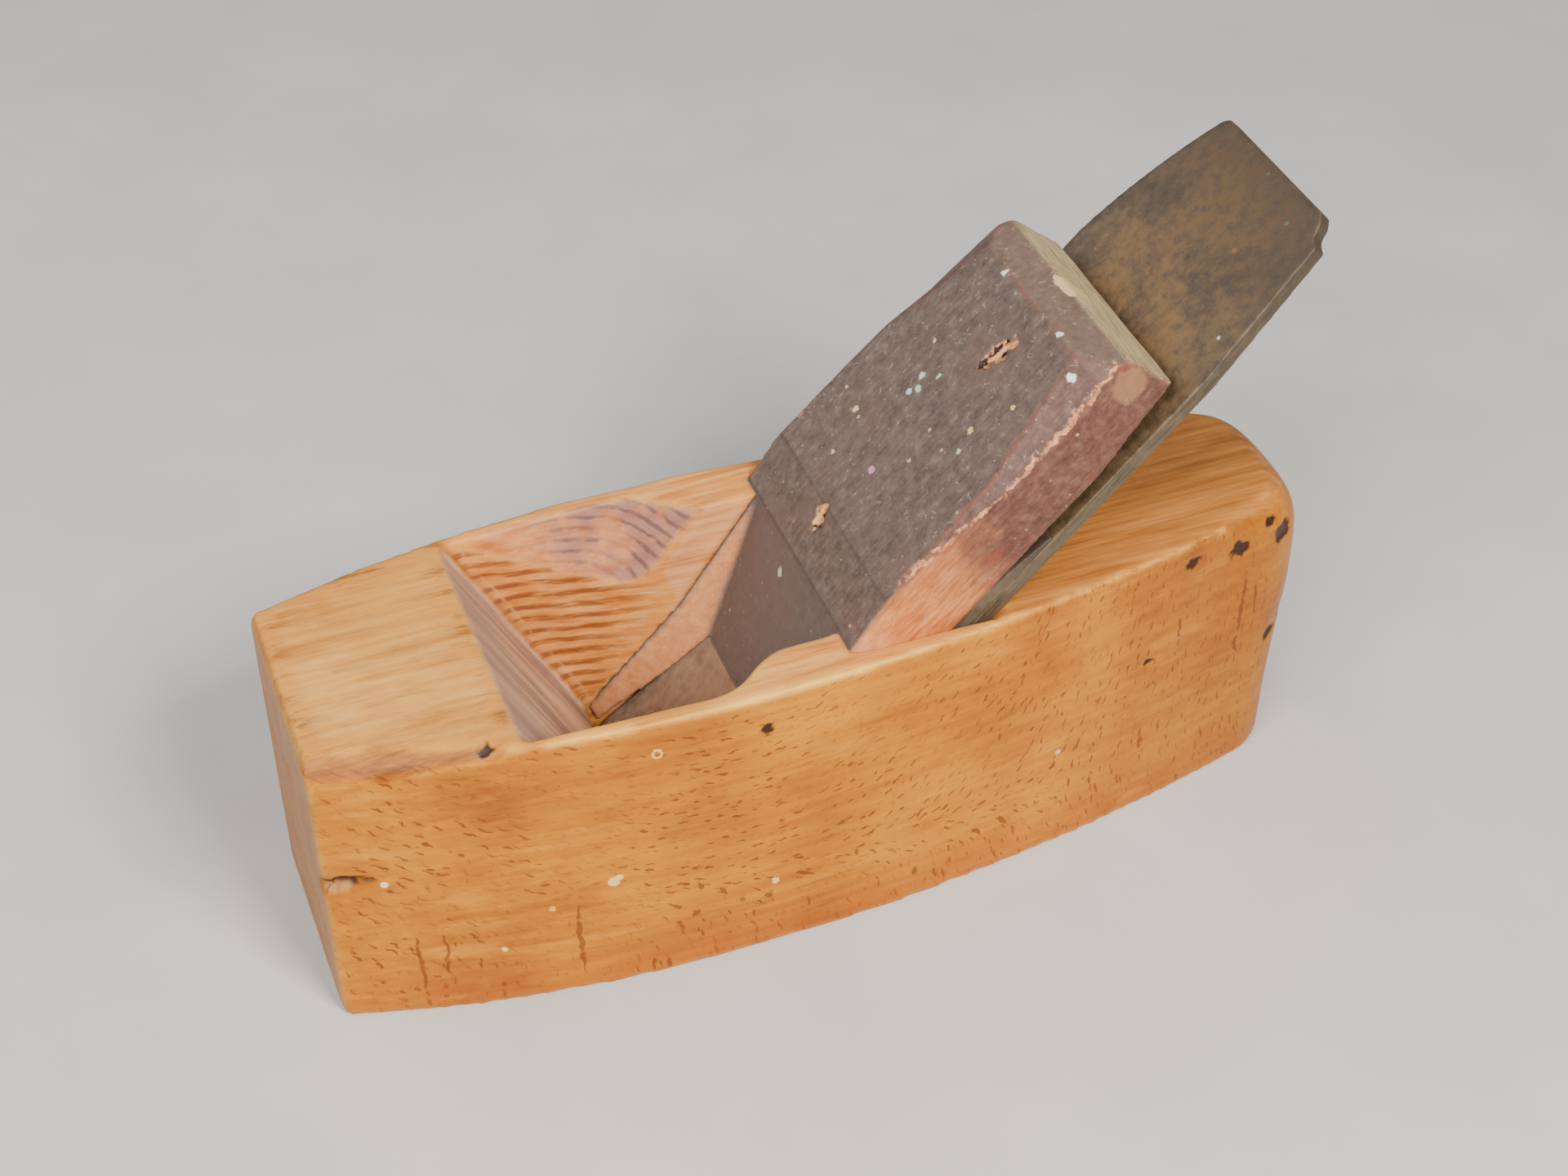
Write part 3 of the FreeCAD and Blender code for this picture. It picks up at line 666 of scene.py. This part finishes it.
def worn_top(wood):
    """The top: smooth and pale at the toe with brown smears by its rim, browner at the heel."""
    toe = wood.ramp(wood.plus(wood.times(wood.grain, 0.5), wood.times(wood.cloud, 0.5)), [
        (0.36, (206, 132, 52)), (0.5, (226, 158, 74)), (0.64, (238, 180, 100))])
    smear = wood.noise(wood.stretched(0.16), 0.3, detail=5, roughness=0.7)
    rim = wood.band(wood.mark("rim"), 0.02, 0.4)
    smeared = wood.times(wood.band(smear, 0.48, 0.64), wood.plus(0.25, wood.times(rim, 0.75)))
    toe = wood.mix(smeared, toe, (126, 72, 28))
    toe = wood.mix(wood.times(rim, 0.35), toe, (200, 118, 36))
    beside = wood.ramp(wood.grain, [(0.34, (190, 108, 46)), (0.48, (224, 146, 70)), (0.6, (240, 174, 100))])
    toe = wood.mix(wood.band(wood.x, -64, -50, 0, 0.8), toe, beside)
    heel = wood.ramp(wood.grain, [(0.32, (124, 78, 34)), (0.44, (146, 92, 42)), (0.56, (164, 106, 52)),
                                  (0.7, (182, 122, 64))])
    heel = wood.mix(wood.times(wood.band(smear, 0.5, 0.66), 0.4), heel, (100, 60, 28))
    rubbed = wood.ramp(wood.grain, [(0.35, (184, 104, 34)), (0.5, (210, 130, 52)), (0.65, (226, 154, 78))])
    heel = wood.mix(wood.times(wood.band(wood.y, 4, -16), 0.6), heel, rubbed)
    top = wood.mix(wood.band(wood.plus(wood.x, wood.times(wood.blotch, 24)), 10, 34), toe, heel)
    return wood.mix(wood.band(wood.fine, 0.55, 0.75, 0, 0.25), top, (150, 92, 40))


def ray_flecks(wood):
    """The dark ends of the rays on the sides: short strokes that turn from place to place.

    Returns them and the long single marks that are drawn on the near side.
    """
    inwards = wood.minus(HALF_WIDTH, wood.math("ABSOLUTE", wood.y))
    apart = 311.0   # moves the far side's pattern, so that the two sides differ
    far = wood.times(wood.math("GREATER_THAN", wood.y, 0.0), apart)
    run = wood.plus(wood.plus(wood.x, inwards), far)
    plane = wood.shaken(wood.joined(run, wood.z), 0.4, 2.2, by=wood.mm)
    high = wood.band(wood.x, -110, 100, math.radians(-50), math.radians(88))
    low = wood.plus(math.radians(-75), wood.times(wood.math("GREATER_THAN", wood.x, 45.0), math.pi))
    lift = wood.band(wood.z, 6, 26)
    angle = wood.plus(wood.times(high, lift), wood.times(low, wood.minus(1.0, lift)))
    spread = wood.noise(wood.mm, 0.05, detail=2)
    small = wood.strokes(plane, 2.9, angle, 1.35, 0.27, 0.62)
    tiny = wood.strokes(wood.vector("ADD", plane, (57.0, 23.0, 0.0)), 1.9, angle, 0.8, 0.18, 0.45)
    large = wood.strokes(wood.vector("ADD", plane, (13.0, 91.0, 0.0)), 6.5, angle, 1.9, 0.42, 0.4)
    middle = wood.times(wood.band(wood.x, -50, -35), wood.band(wood.z, 34, 22))
    flecks = wood.most([wood.times(small, wood.band(spread, 0.35, 0.52, 0.25, 1.0)),
                        wood.times(tiny, 0.55), wood.times(large, middle)])
    flat = wood.joined(wood.x, wood.z)
    bent = wood.shaken(wood.shaken(flat, 0.22, 2.6), 1.1, 0.5, by=flat)
    drawn = wood.most([wood.line(bent, (x0, z0, 0), (x1, z1, 0), half) for x0, z0, x1, z1, half in SCORES])
    return flecks, drawn


def stained_breast(wood):
    """The throat's sloping front: grey-mauve streaks down the slope, and a painted highlight along its
    creases.
    """
    down_slope = wood.vector("MULTIPLY", wood.mm, (0.1, 1.0, 0.1))
    streak = wood.noise(down_slope, 0.2, detail=4, roughness=0.55)
    breast = wood.ramp(streak, [(0.34, (136, 116, 108)), (0.46, (180, 146, 126)),
                                (0.56, (216, 174, 140)), (0.7, (232, 192, 152))])
    breast = wood.mix(wood.band(wood.z, 40, 62, 0, 0.5), breast, (184, 154, 142))
    # painted highlight: a pale cream line along the breast's concave creases
    crease = wood.times(wood.mark("corner"), wood.mark("breast"))
    return wood.mix(wood.band(crease, 0.05, 0.5, 0, 0.7), breast, (240, 208, 172))


def stained_eye(wood):
    """The eyes: pale pinkish wood with a blue-purple stain in arcs along their rounded ends."""
    stain = wood.noise(wood.stretched(0.35), 0.4, detail=5, roughness=0.6)
    base = wood.ramp(stain, [(0.34, (188, 104, 44)), (0.46, (208, 128, 68)),
                             (0.58, (222, 150, 96)), (0.72, (222, 144, 66))])
    base = wood.mix(wood.band(wood.x, -52, -62, 0, 0.7), base, (238, 154, 62))
    centre = wood.vector("SUBTRACT", wood.joined(wood.x, wood.z), (-46.0, 48.0, 0.0))
    away = wood.vector("LENGTH", wood.vector("MULTIPLY", centre, (0.8, 1.5, 0.0)))
    soft = wood.noise(wood.mm, 0.16, detail=3)
    turns = wood.plus(wood.times(away, 2 * math.pi / ARC_PITCH), wood.times(soft, 7.0))
    area = wood.times(wood.band(away, 6, 17), wood.band(wood.x, -8, -14), wood.band(wood.x, -50, -36))
    area = wood.times(area, wood.band(soft, 0.36, 0.56, 0.25, 1.0))
    arcs = wood.times(wood.band(wood.math("SINE", turns), 0.1, 0.9), area)
    base = wood.mix(wood.times(area, 0.62), base, (140, 112, 118))
    base = wood.mix(wood.times(arcs, 0.62), base, (78, 58, 70))
    return wood.mix(wood.spot(wood.mm, (-45.8, 23.7, 57.0), 3.2), base, (236, 190, 160))


def striped_cheek(wood):
    """Inside of the cheeks: orange, with dark bands along the grain near the breast."""
    orange = wood.ramp(wood.grain, [(0.3, (210, 122, 46)), (0.5, (236, 156, 76)), (0.7, (246, 184, 112))])
    bent = wood.plus(wood.z, wood.times(wood.noise(wood.mm, 0.08), 3.0))
    wave = wood.math("SINE", wood.times(bent, 2 * math.pi / STRIPE_PITCH))
    broken = wood.noise(wood.vector("MULTIPLY", wood.mm, (0.2, 0.5, 1.2)), 0.8, detail=4)
    reach = wood.plus(wood.x, wood.times(wood.z, -0.25))
    dark = wood.times(wood.band(wave, -0.5, 0.9), wood.band(broken, 0.3, 0.56, 0.25, 1.0),
                      wood.band(reach, -27, -46))
    striped = wood.mix(wood.times(dark, 0.8), orange, (120, 54, 34))
    pink = wood.ramp(wood.grain, [(0.3, (208, 130, 76)), (0.5, (236, 164, 106)), (0.7, (246, 190, 138))])
    flat = wood.band(wood.math("ABSOLUTE", wood.parts(wood.normal)[0]), 0.12, 0.05)
    from_breast = wood.minus(wood.vector("DOT_PRODUCT", wood.mm, tuple(BREAST_NORMAL)),
                             float(BREAST_TOP @ BREAST_NORMAL))
    return wood.mix(wood.times(flat, wood.band(from_breast, 2, 4)), striped, pink)


def plain_faces(wood, colour):
    """The colour with the bed, the sole and the end grain of toe and heel put in."""
    bed = wood.ramp(wood.grain, [(0.3, (134, 70, 26)), (0.7, (186, 116, 48))])
    colour = wood.mix(wood.mark("bed"), colour, bed)
    sole = wood.ramp(wood.grain, [(0.3, (160, 98, 40)), (0.5, (192, 130, 62)), (0.7, (210, 154, 84))])
    colour = wood.mix(wood.mark("sole"), colour, sole)
    pores = wood.noise(wood.mm, 1.6, detail=4, roughness=0.7)
    end_grain = wood.ramp(pores, [(0.3, (112, 62, 16)), (0.5, (158, 98, 32)), (0.7, (188, 130, 56))])
    return wood.mix(wood.times(wood.mark("end"), 0.85), colour, end_grain)


def edge_wear_and_highlight(wood, colour):
    """The colour with rubbed edges, a painted highlight along the near top edge, the toe's pared edge and
    darker concave corners put in.
    """
    ragged = wood.band(wood.plus(wood.blotch, wood.times(wood.fine, 0.5)), 0.62, 0.85)
    # painted highlight along the near top edge beside the throat
    near_edge_highlight = wood.times(wood.band(wood.x, -66, -50), wood.band(wood.x, 40, 5),
                         wood.band(wood.y, -20, -28), wood.band(wood.z, 58, 63))
    # pale cream edges: rubbed wear where ragged, and the painted highlight along the near top edge
    pale_edge = wood.times(wood.mark("edge"), wood.plus(wood.times(ragged, 0.4), wood.times(near_edge_highlight, 0.6)))
    colour = wood.mix(wood.math("MINIMUM", pale_edge, 0.9), colour, (252, 196, 84))
    pared = wood.ramp(wood.grain, [(0.35, (104, 52, 10)), (0.5, (156, 88, 22)), (0.65, (182, 114, 42))])
    colour = wood.mix(wood.times(wood.mark("pared"), 0.7), colour, pared)
    # darker in the concave corners, except on the breast
    corner_darkening = wood.times(wood.mark("corner"), wood.band(wood.mark("breast"), 0.3, 0, 0, 0.55))
    return wood.mix(corner_darkening, colour, (108, 56, 24))


def knocks_and_drips(wood, colour, drawn):
    """The colour with the drawn scores, the paint drips, the splits and the bruises put in."""
    near = wood.mark("near")
    colour = wood.mix(wood.times(drawn, near, 0.7), colour, (108, 44, 6))
    shaky = wood.shaken(wood.joined(wood.x, wood.z), 0.9, 0.9)
    for place_x, place_z, radius, hollow, paint in DRIPS:
        drip = wood.spot(shaky, (place_x, place_z, 0), radius, hollow)
        colour = wood.mix(wood.times(drip, near), colour, paint)
    split = wood.plus(wood.z, wood.times(wood.x, 0.05))
    raw = wood.ramp(wood.band(split, 29.0, 31.6), [(0.3, (176, 120, 66)), (0.7, (84, 50, 28))])
    colour = wood.mix(wood.band(wood.mark("chip"), 0.1, 0.5), colour, raw)
    return wood.mix(wood.band(wood.mark("bruise"), 0.05, 0.6), colour, (58, 28, 14))


# ---------------- the wedge

def make_wedge():
    """The wedge, worn most where it stands out of the stock, with two places torn out."""
    piece = worn_copy("wedge", "worn_wedge", WEDGE_GRID, IRON_TURN)
    skin = Skin(piece)
    offset = skin.points - EDGE
    up, out = offset @ ALONG, offset @ OUT
    side = np.abs(skin.normals[:, 1]) > 0.9
    bevel = (np.abs(skin.normals[:, 1]) > 0.12) & ~side & (out > 12) & (up > 86)
    skin.mark_area("end", (skin.normals @ ALONG > 0.8) & (up > 140), 2)
    skin.mark_area("side", side, 2)
    skin.mark_area("bevel", bevel, 2)
    free = smooth_step(up, 80, 90) * 0.8 + 0.2
    lost = wear_down(skin, 6, 12.4, free)
    nibble = smooth_step(field(skin.points, 2.0, 4.4), 0.2, 0.6) * smooth_step(lost, 0.06, 0.25)
    skin.press(0.3 * nibble * free)
    skin.press(0.05 * (field(skin.points, 9, 2.3) + 1))
    upper = skin.dent(on_iron(129.5, -3.6, 21.1), ALONG + (0, -0.35, 0), 5.4, 2.1, 1.1,
                      seed=1.0, ragged=0.5)
    lower = skin.dent(on_iron(82.0, 2.2, 20.8), ALONG + (0, 0.2, 0), 3.4, 2.1, 1.3,
                      seed=8.0, ragged=0.5)
    skin.mark("chip", np.maximum(upper, lower))
    skin.write("wedge")
    piece.data.materials.append(dark_wood())
    settle(piece, "wedge", "wedge")


WEDGE_HALF = box_of("wedge")[1][1]    # half its width
PARE_START = 128                      # where its sides start to lean in, up the iron
PARE_SLOPE = math.tan(math.radians(8))
STEP = (73.5, 85.0)                   # where the low step on its front starts and ends

# paint flecks on the wedge's front face: up, side, radius and colour
FLECKS = [
    (140.1, 10.3, 0.8, (238, 232, 220)), (137.7, -21.9, 1.0, (240, 236, 226)),
    (141.0, -12.3, 0.8, (238, 232, 224)), (67.8, 4.6, 1.0, (214, 206, 190)),
    (100.8, 15.7, 0.9, (226, 204, 150)), (111.5, 7.4, 0.8, (196, 204, 196)),
    (113.4, 6.0, 0.9, (186, 206, 190)), (115.4, 7.7, 0.9, (206, 208, 200)),
    (118.1, 4.0, 0.7, (190, 210, 170)), (116.9, -12.8, 0.9, (220, 208, 110)),
    (112.8, -14.3, 0.7, (190, 208, 140)), (96.6, 0.1, 0.9, (206, 140, 160)),
    (121.5, 12.0, 0.6, (226, 208, 160)), (104.0, -6.0, 0.6, (200, 176, 150)),
    (92.0, 12.0, 0.6, (204, 190, 170)), (126.0, -17.0, 0.6, (220, 190, 120)),
]

# specks on the wedge: cell, radius, share kept and colours of each kind
WEDGE_SPECKS = [
    (5.0, 0.5, 0.34, [(0.2, (206, 188, 140)), (0.5, (214, 206, 190)), (0.8, (172, 176, 120))]),
    (2.2, 0.28, 0.5, [(0.2, (178, 150, 120)), (0.6, (150, 152, 124)), (0.9, (180, 116, 92))]),
    (1.2, 0.16, 0.35, [(0.2, (40, 28, 24)), (0.6, (150, 126, 108)), (0.9, (50, 34, 28))]),
]


class DarkWood(Graph):
    """The wedge's nodes, with the places and the patterns that its faces share."""

    def __init__(self, name):
        super().__init__(name)
        self.up, self.across, self.out = self.iron_places()
        self.local = self.joined(self.up, self.across, self.out)
        lengthwise = self.vector("MULTIPLY", self.local, (0.16, 1.0, 1.0))
        self.scratch = self.noise(lengthwise, 1.3, detail=6, roughness=0.7)
        self.mottle = self.noise(self.local, 0.45, detail=8, roughness=0.75)
        self.patch = self.noise(self.local, 0.09, detail=5, roughness=0.65)
        self.tone = self.plus(self.times(self.scratch, 0.3), self.times(self.mottle, 0.7))
        self.flank = self.shaken(self.joined(self.up, self.out), 0.5, 2.4, by=self.local)
        self.shaky = self.shaken(self.joined(self.up, self.across), 1.1, 1.3, by=self.local)


def dark_wood():
    """The wedge: grimy grey-brown, reddish on its bevels and pale where hands have worn it."""
    wood = DarkWood("grimy_wedge")
    colour = wood.mix(wood.mark("side"), wedge_face(wood), wedge_side(wood))
    rings = wood.noise(wood.vector("MULTIPLY", wood.local, (1.0, 0.12, 1.6)), 1.2, detail=5)
    end = wood.ramp(rings, [(0.3, (140, 118, 82)), (0.5, (186, 166, 124)), (0.7, (212, 194, 150))])
    colour = wood.mix(wood.mark("end"), colour, end)
    colour = worn_wedge_edges(wood, colour)
    colour = wood.sprinkle(colour, wood.local, WEDGE_SPECKS, 0.75)
    colour = scrapes_and_flecks(wood, colour)
    torn = wood.noise(wood.vector("MULTIPLY", wood.local, (0.45, 1.0, 1.0)), 0.75, detail=3)
    bare = wood.ramp(torn, [(0.42, (36, 18, 10)), (0.47, (196, 124, 72)), (0.6, (238, 180, 124))])
    colour = wood.mix(wood.band(wood.mark("chip"), 0.05, 0.22), colour, bare)
    rough = wood.band(wood.mottle, 0.35, 0.7, 0.46, 0.68)
    relief = wood.plus(wood.times(wood.scratch, 0.5), wood.times(wood.mottle, 0.7))
    wood.finish(colour, rough, relief, bump=0.6, depth=0.25, specular=0.4)
    return wood.material


def wedge_face(wood):
    """The front and its bevels, greyer on the low step, with painted shade along the bend at each end of the
    step.
    """
    face = wood.ramp(wood.tone, [(0.36, (70, 55, 49)), (0.46, (94, 77, 69)),
                                 (0.54, (108, 91, 82)), (0.66, (132, 115, 104))])
    cloud = wood.noise(wood.local, 0.05, detail=3)
    face = wood.mix(wood.band(cloud, 0.45, 0.65, 0, 0.3), face, (112, 80, 72))
    face = wood.mix(wood.band(wood.up, 77, 70, 0, 0.6), face, (108, 104, 102))
    # painted shade: a dark line along the bend at each end of the low step
    step_bend_shade = wood.most([wood.times(wood.band(wood.up, line - 0.9, line), wood.band(wood.up, line + 0.5, line))
                       for line in STEP])
    face = wood.mix(wood.times(step_bend_shade, 0.35), face, (48, 36, 30))
    red = wood.ramp(wood.tone, [(0.36, (76, 46, 40)), (0.5, (104, 70, 62)), (0.64, (134, 104, 94))])
    face = wood.mix(wood.times(wood.mark("bevel"), 0.7), face, red)
    return wood.mix(wood.times(wood.band(wood.up, 140, 141.5), 0.3), face, (142, 116, 96))


def wedge_side(wood):
    """The sides: dark and reddish at the top, bare orange and then pink lower down."""
    side = wood.ramp(wood.tone, [(0.36, (74, 42, 34)), (0.5, (106, 66, 54)), (0.66, (138, 98, 82))])
    side = wood.mix(wood.band(wood.patch, 0.54, 0.62, 0, 0.5), side, (150, 62, 38))
    low = wood.band(wood.plus(wood.up, wood.times(wood.patch, 26)), 122, 100)
    bare = wood.ramp(wood.scratch, [(0.35, (178, 92, 40)), (0.5, (208, 124, 62)), (0.65, (224, 152, 96))])
    side = wood.mix(low, side, bare)
    pink = wood.ramp(wood.mottle, [(0.35, (216, 138, 84)), (0.65, (240, 172, 118))])
    side = wood.mix(wood.band(wood.up, 82, 76), side, pink)
    rubbed = wood.spot(wood.flank, (143.5, 12.0, 0), 4.2)
    return wood.mix(wood.times(rubbed, 0.5), side, (176, 128, 88))


def worn_wedge_edges(wood, colour):
    """The colour with rubbed edges, darker concave corners and a bright ridge along each side put in."""
    edge = wood.times(wood.mark("edge"), wood.band(wood.tone, 0.38, 0.58, 0.15, 1.3),
                      wood.band(wood.up, 84, 92))
    colour = wood.mix(wood.band(edge, 0.12, 0.5, 0, 0.7), colour, (128, 66, 48))
    pale = wood.band(wood.times(edge, wood.band(wood.patch, 0.36, 0.5, 0.5, 1.2)), 0.55, 0.95, 0, 0.6)
    colour = wood.mix(pale, colour, (230, 176, 142))
    # darker in the concave corners where the wedge stands out of the stock
    corner_darkening = wood.times(wood.mark("corner"), wood.band(wood.up, 80, 90, 0, 0.6))
    colour = wood.mix(corner_darkening, colour, (38, 26, 22))
    ridge = wood.most([wood.line(wood.flank, (84, 22, 0), (119, 17.4, 0), 0.4),
                       wood.line(wood.flank, (110, 17.8, 0), (149.5, 17.0, 0), 0.5)])
    pared = wood.times(wood.math("MAXIMUM", wood.minus(wood.up, PARE_START), 0.0), PARE_SLOPE)
    from_side = wood.plus(wood.math("ABSOLUTE", wood.across), pared)
    ridge = wood.times(ridge, wood.band(from_side, WEDGE_HALF - 2.2, WEDGE_HALF - 1.0))
    bright = wood.ramp(wood.scratch, [(0.4, (206, 118, 70)), (0.6, (244, 178, 120))])
    return wood.mix(wood.times(ridge, wood.band(wood.mottle, 0.4, 0.54, 0.1, 0.9)), colour, bright)


def scrapes_and_flecks(wood, colour):
    """The colour with pale scrapes, the paint flecks and a cream smear on the front put in."""
    any_way = wood.times(wood.noise(wood.local, 0.3, detail=2), 14.0)
    scrapes = wood.times(wood.strokes(wood.shaky, 3.1, any_way, 1.3, 0.13, 0.5),
                         wood.band(wood.up, 84, 90), wood.band(wood.mark("side"), 0.2, 0))
    colour = wood.mix(wood.times(scrapes, 0.4), colour, (196, 180, 164))
    front = wood.band(wood.out, 6, 8)
    for place_up, place_side, radius, paint in FLECKS:
        fleck = wood.spot(wood.shaky, (place_up, place_side, 0), radius)
        colour = wood.mix(wood.times(fleck, front), colour, paint)
    cream = wood.line(wood.shaky, (146.3, 5.0, 0), (146.8, -3.5, 0), 1.0)
    return wood.mix(wood.times(cream, front), colour, (224, 184, 140))


# ---------------- the irons

def make_iron(node, material, grid, seed):
    """A worn plate. It is meshed on a grid that is finer through its thickness."""
    finer = 2.5
    piece = worn_copy(node, "rusty_" + node, grid, Matrix.Diagonal((1, 1, finer, 1)) @ IRON_TURN)
    skin = Skin(piece)
    flank = np.abs(skin.normals @ OUT) < 0.6
    skin.mark_area("flank", flank, 1)
    rim = skin.spread(flank.astype(float), 40)
    skin.mark("rim", rim / rim.max())
    lost = wear_down(skin, 3, seed)
    nibble = smooth_step(field(skin.points, 3.0, seed), 0.3, 0.7) * smooth_step(lost, 0.04, 0.2)
    skin.press(0.08 * nibble)
    skin.write(node)
    piece.data.materials.append(material)
    settle(piece, node, node)


# specks on the irons: cell, radius, share kept and colours of each kind
IRON_SPECKS = [
    (7.0, 0.4, 0.25, [(0.3, (96, 130, 96)), (0.6, (150, 146, 128)), (0.9, (176, 112, 62))]),
    (2.2, 0.2, 0.4, [(0.3, (142, 116, 76)), (0.6, (52, 40, 34)), (0.9, (110, 108, 72))]),
]

# drops of paint on the cutting iron: up, side, radius and colour
IRON_PAINT = [
    (186, -1.5, 0.5, (112, 150, 108)), (182.3, -14.1, 0.5, (118, 156, 118)),
    (177.1, -25.3, 0.5, (110, 146, 112)), (159.4, -21.8, 0.5, (190, 190, 180)),
    (172, -9, 0.6, (170, 104, 58)),
]

IRON_TONES = [(60, 50, 40), (86, 70, 52), (104, 86, 62), (126, 106, 78)]       # dark to light
CAP_TONES = [(100, 84, 72), (128, 110, 94), (144, 126, 108), (164, 146, 124)]


def rusty_steel(name, tones, warm, edge_colour, upper_shade, paint=(), shift=0.0, extra_roughness=0.0):
    """Old steel under brown rust, worn bright along its edges.

    The dark upper end is painted shade: its argument gives where it starts and is full, up the iron, and how
    strong it is.
    Shift moves the patterns, so that no two plates are alike.
    """
    steel = Graph(name)
    up, across, out = steel.iron_places()
    local = steel.vector("ADD", steel.joined(up, across, out), (shift, shift, shift))
    cloud = steel.noise(local, 0.045, detail=6, roughness=0.65, bend=0.5)
    mottle = steel.noise(local, 0.4, detail=9, roughness=0.78)
    brushed = steel.noise(steel.vector("MULTIPLY", local, (0.1, 1.0, 1.0)), 1.2, detail=5, roughness=0.7)
    grit = steel.noise(local, 3.0, detail=3, roughness=0.7)
    tone = steel.plus(steel.times(mottle, 0.6), steel.times(cloud, 0.4))
    colour = steel.ramp(tone, list(zip((0.38, 0.46, 0.53, 0.64), tones)))
    from_edge = steel.band(steel.math("ABSOLUTE", across), 26, 8, 0.15, 0.75)
    middle = steel.times(steel.band(cloud, 0.36, 0.58), from_edge)
    colour = steel.mix(middle, colour, steel.ramp(mottle, [(0.36, tones[1]), (0.55, warm)]))
    colour = steel.mix(steel.band(brushed, 0.52, 0.72, 0, 0.3), colour, tones[0])
    colour = steel.sprinkle(colour, local, IRON_SPECKS, 0.6)
    for place_up, place_side, radius, drop in paint:
        spot = steel.spot(steel.joined(up, across), (place_up, place_side, 0), radius)
        colour = steel.mix(spot, colour, drop)
    dirty = steel.times(steel.mark("rim"), steel.band(mottle, 0.35, 0.6, 0.7, 0.2))
    colour = steel.mix(dirty, colour, tones[0])
    pale_edge = steel.times(steel.mark("edge"), steel.band(mottle, 0.35, 0.6, 0.5, 1.3))
    colour = steel.mix(steel.times(steel.band(pale_edge, 0.12, 0.5), 0.75), colour, edge_colour)
    flank = steel.ramp(brushed, [(0.35, (54, 44, 34)), (0.6, (102, 88, 66))])
    colour = steel.mix(steel.band(steel.mark("flank"), 0.3, 0.8, 0, 0.6), colour, flank)
    # painted shade: the upper end darkens towards the colour of the iron in shade
    start, full, strength = upper_shade
    colour = steel.mix(steel.band(up, start, full, 0, strength), colour, (60, 50, 40))
    rough = steel.plus(steel.band(mottle, 0.35, 0.7, 0.4, 0.6), extra_roughness)
    relief = steel.plus(steel.times(mottle, 0.7), steel.times(grit, 0.3))
    steel.finish(colour, rough, relief, bump=0.5, depth=0.12, metallic=0.12)
    return steel.material


def make_cutting_iron():
    """The long iron: dark brown rust with drops of paint, and painted shade on its upper end."""
    # the upper end is darkened as painted shade, where the light fell off
    rust = rusty_steel("iron_rust", IRON_TONES, warm=(134, 98, 56), edge_colour=(150, 130, 98),
                       upper_shade=(150, 190, 0.7), paint=IRON_PAINT, shift=3.0)
    make_iron("cutting_iron", rust, grid=0.55, seed=2.6)


def make_cap_iron():
    """The short iron: paler and greyer, with painted shade where it goes under the wedge."""
    # the upper end is darkened as painted shade from the wedge over it
    rust = rusty_steel("cap_rust", CAP_TONES, warm=(150, 122, 94), edge_colour=(180, 162, 136),
                       upper_shade=(93, 109, 0.85), shift=41.0, extra_roughness=-0.06)
    make_iron("cap_iron", rust, grid=0.5, seed=6.1)


def turned_metal(name, light, dark, metallic):
    """A screw or boss: tarnish and dirt, with a fine grain in its roughness and bumps."""
    metal = Graph(name)
    tarnish = metal.noise(metal.mm, 0.5, detail=5, roughness=0.65)
    fine = metal.noise(metal.mm, 4.0, detail=3)
    colour = metal.ramp(tarnish, [(0.35, dark), (0.65, light)])
    metal.finish(colour, metal.band(fine, 0.3, 0.7, 0.35, 0.55), fine, bump=0.3, depth=0.05,
                 metallic=metallic)
    return metal.material


def dress_node(node, material):
    """Give a CAD node that keeps its shape a soft edge and a material."""
    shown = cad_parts[node]
    bevel = shown.modifiers.new("soft_edge", "BEVEL")
    bevel.width = 0.25 * MM
    bevel.segments = 2
    bevel.limit_method = "ANGLE"
    shown.data.materials.clear()
    shown.data.materials.append(material)


# ---------------- everything together

add_camera()
add_studio()
make_stock()
make_wedge()
make_cutting_iron()
make_cap_iron()
dress_node("cap_boss", turned_metal("old_brass", (176, 138, 66), (92, 70, 36), 0.9))
dress_node("cap_screw", turned_metal("dark_steel", (118, 110, 100), (62, 52, 44), 0.8))
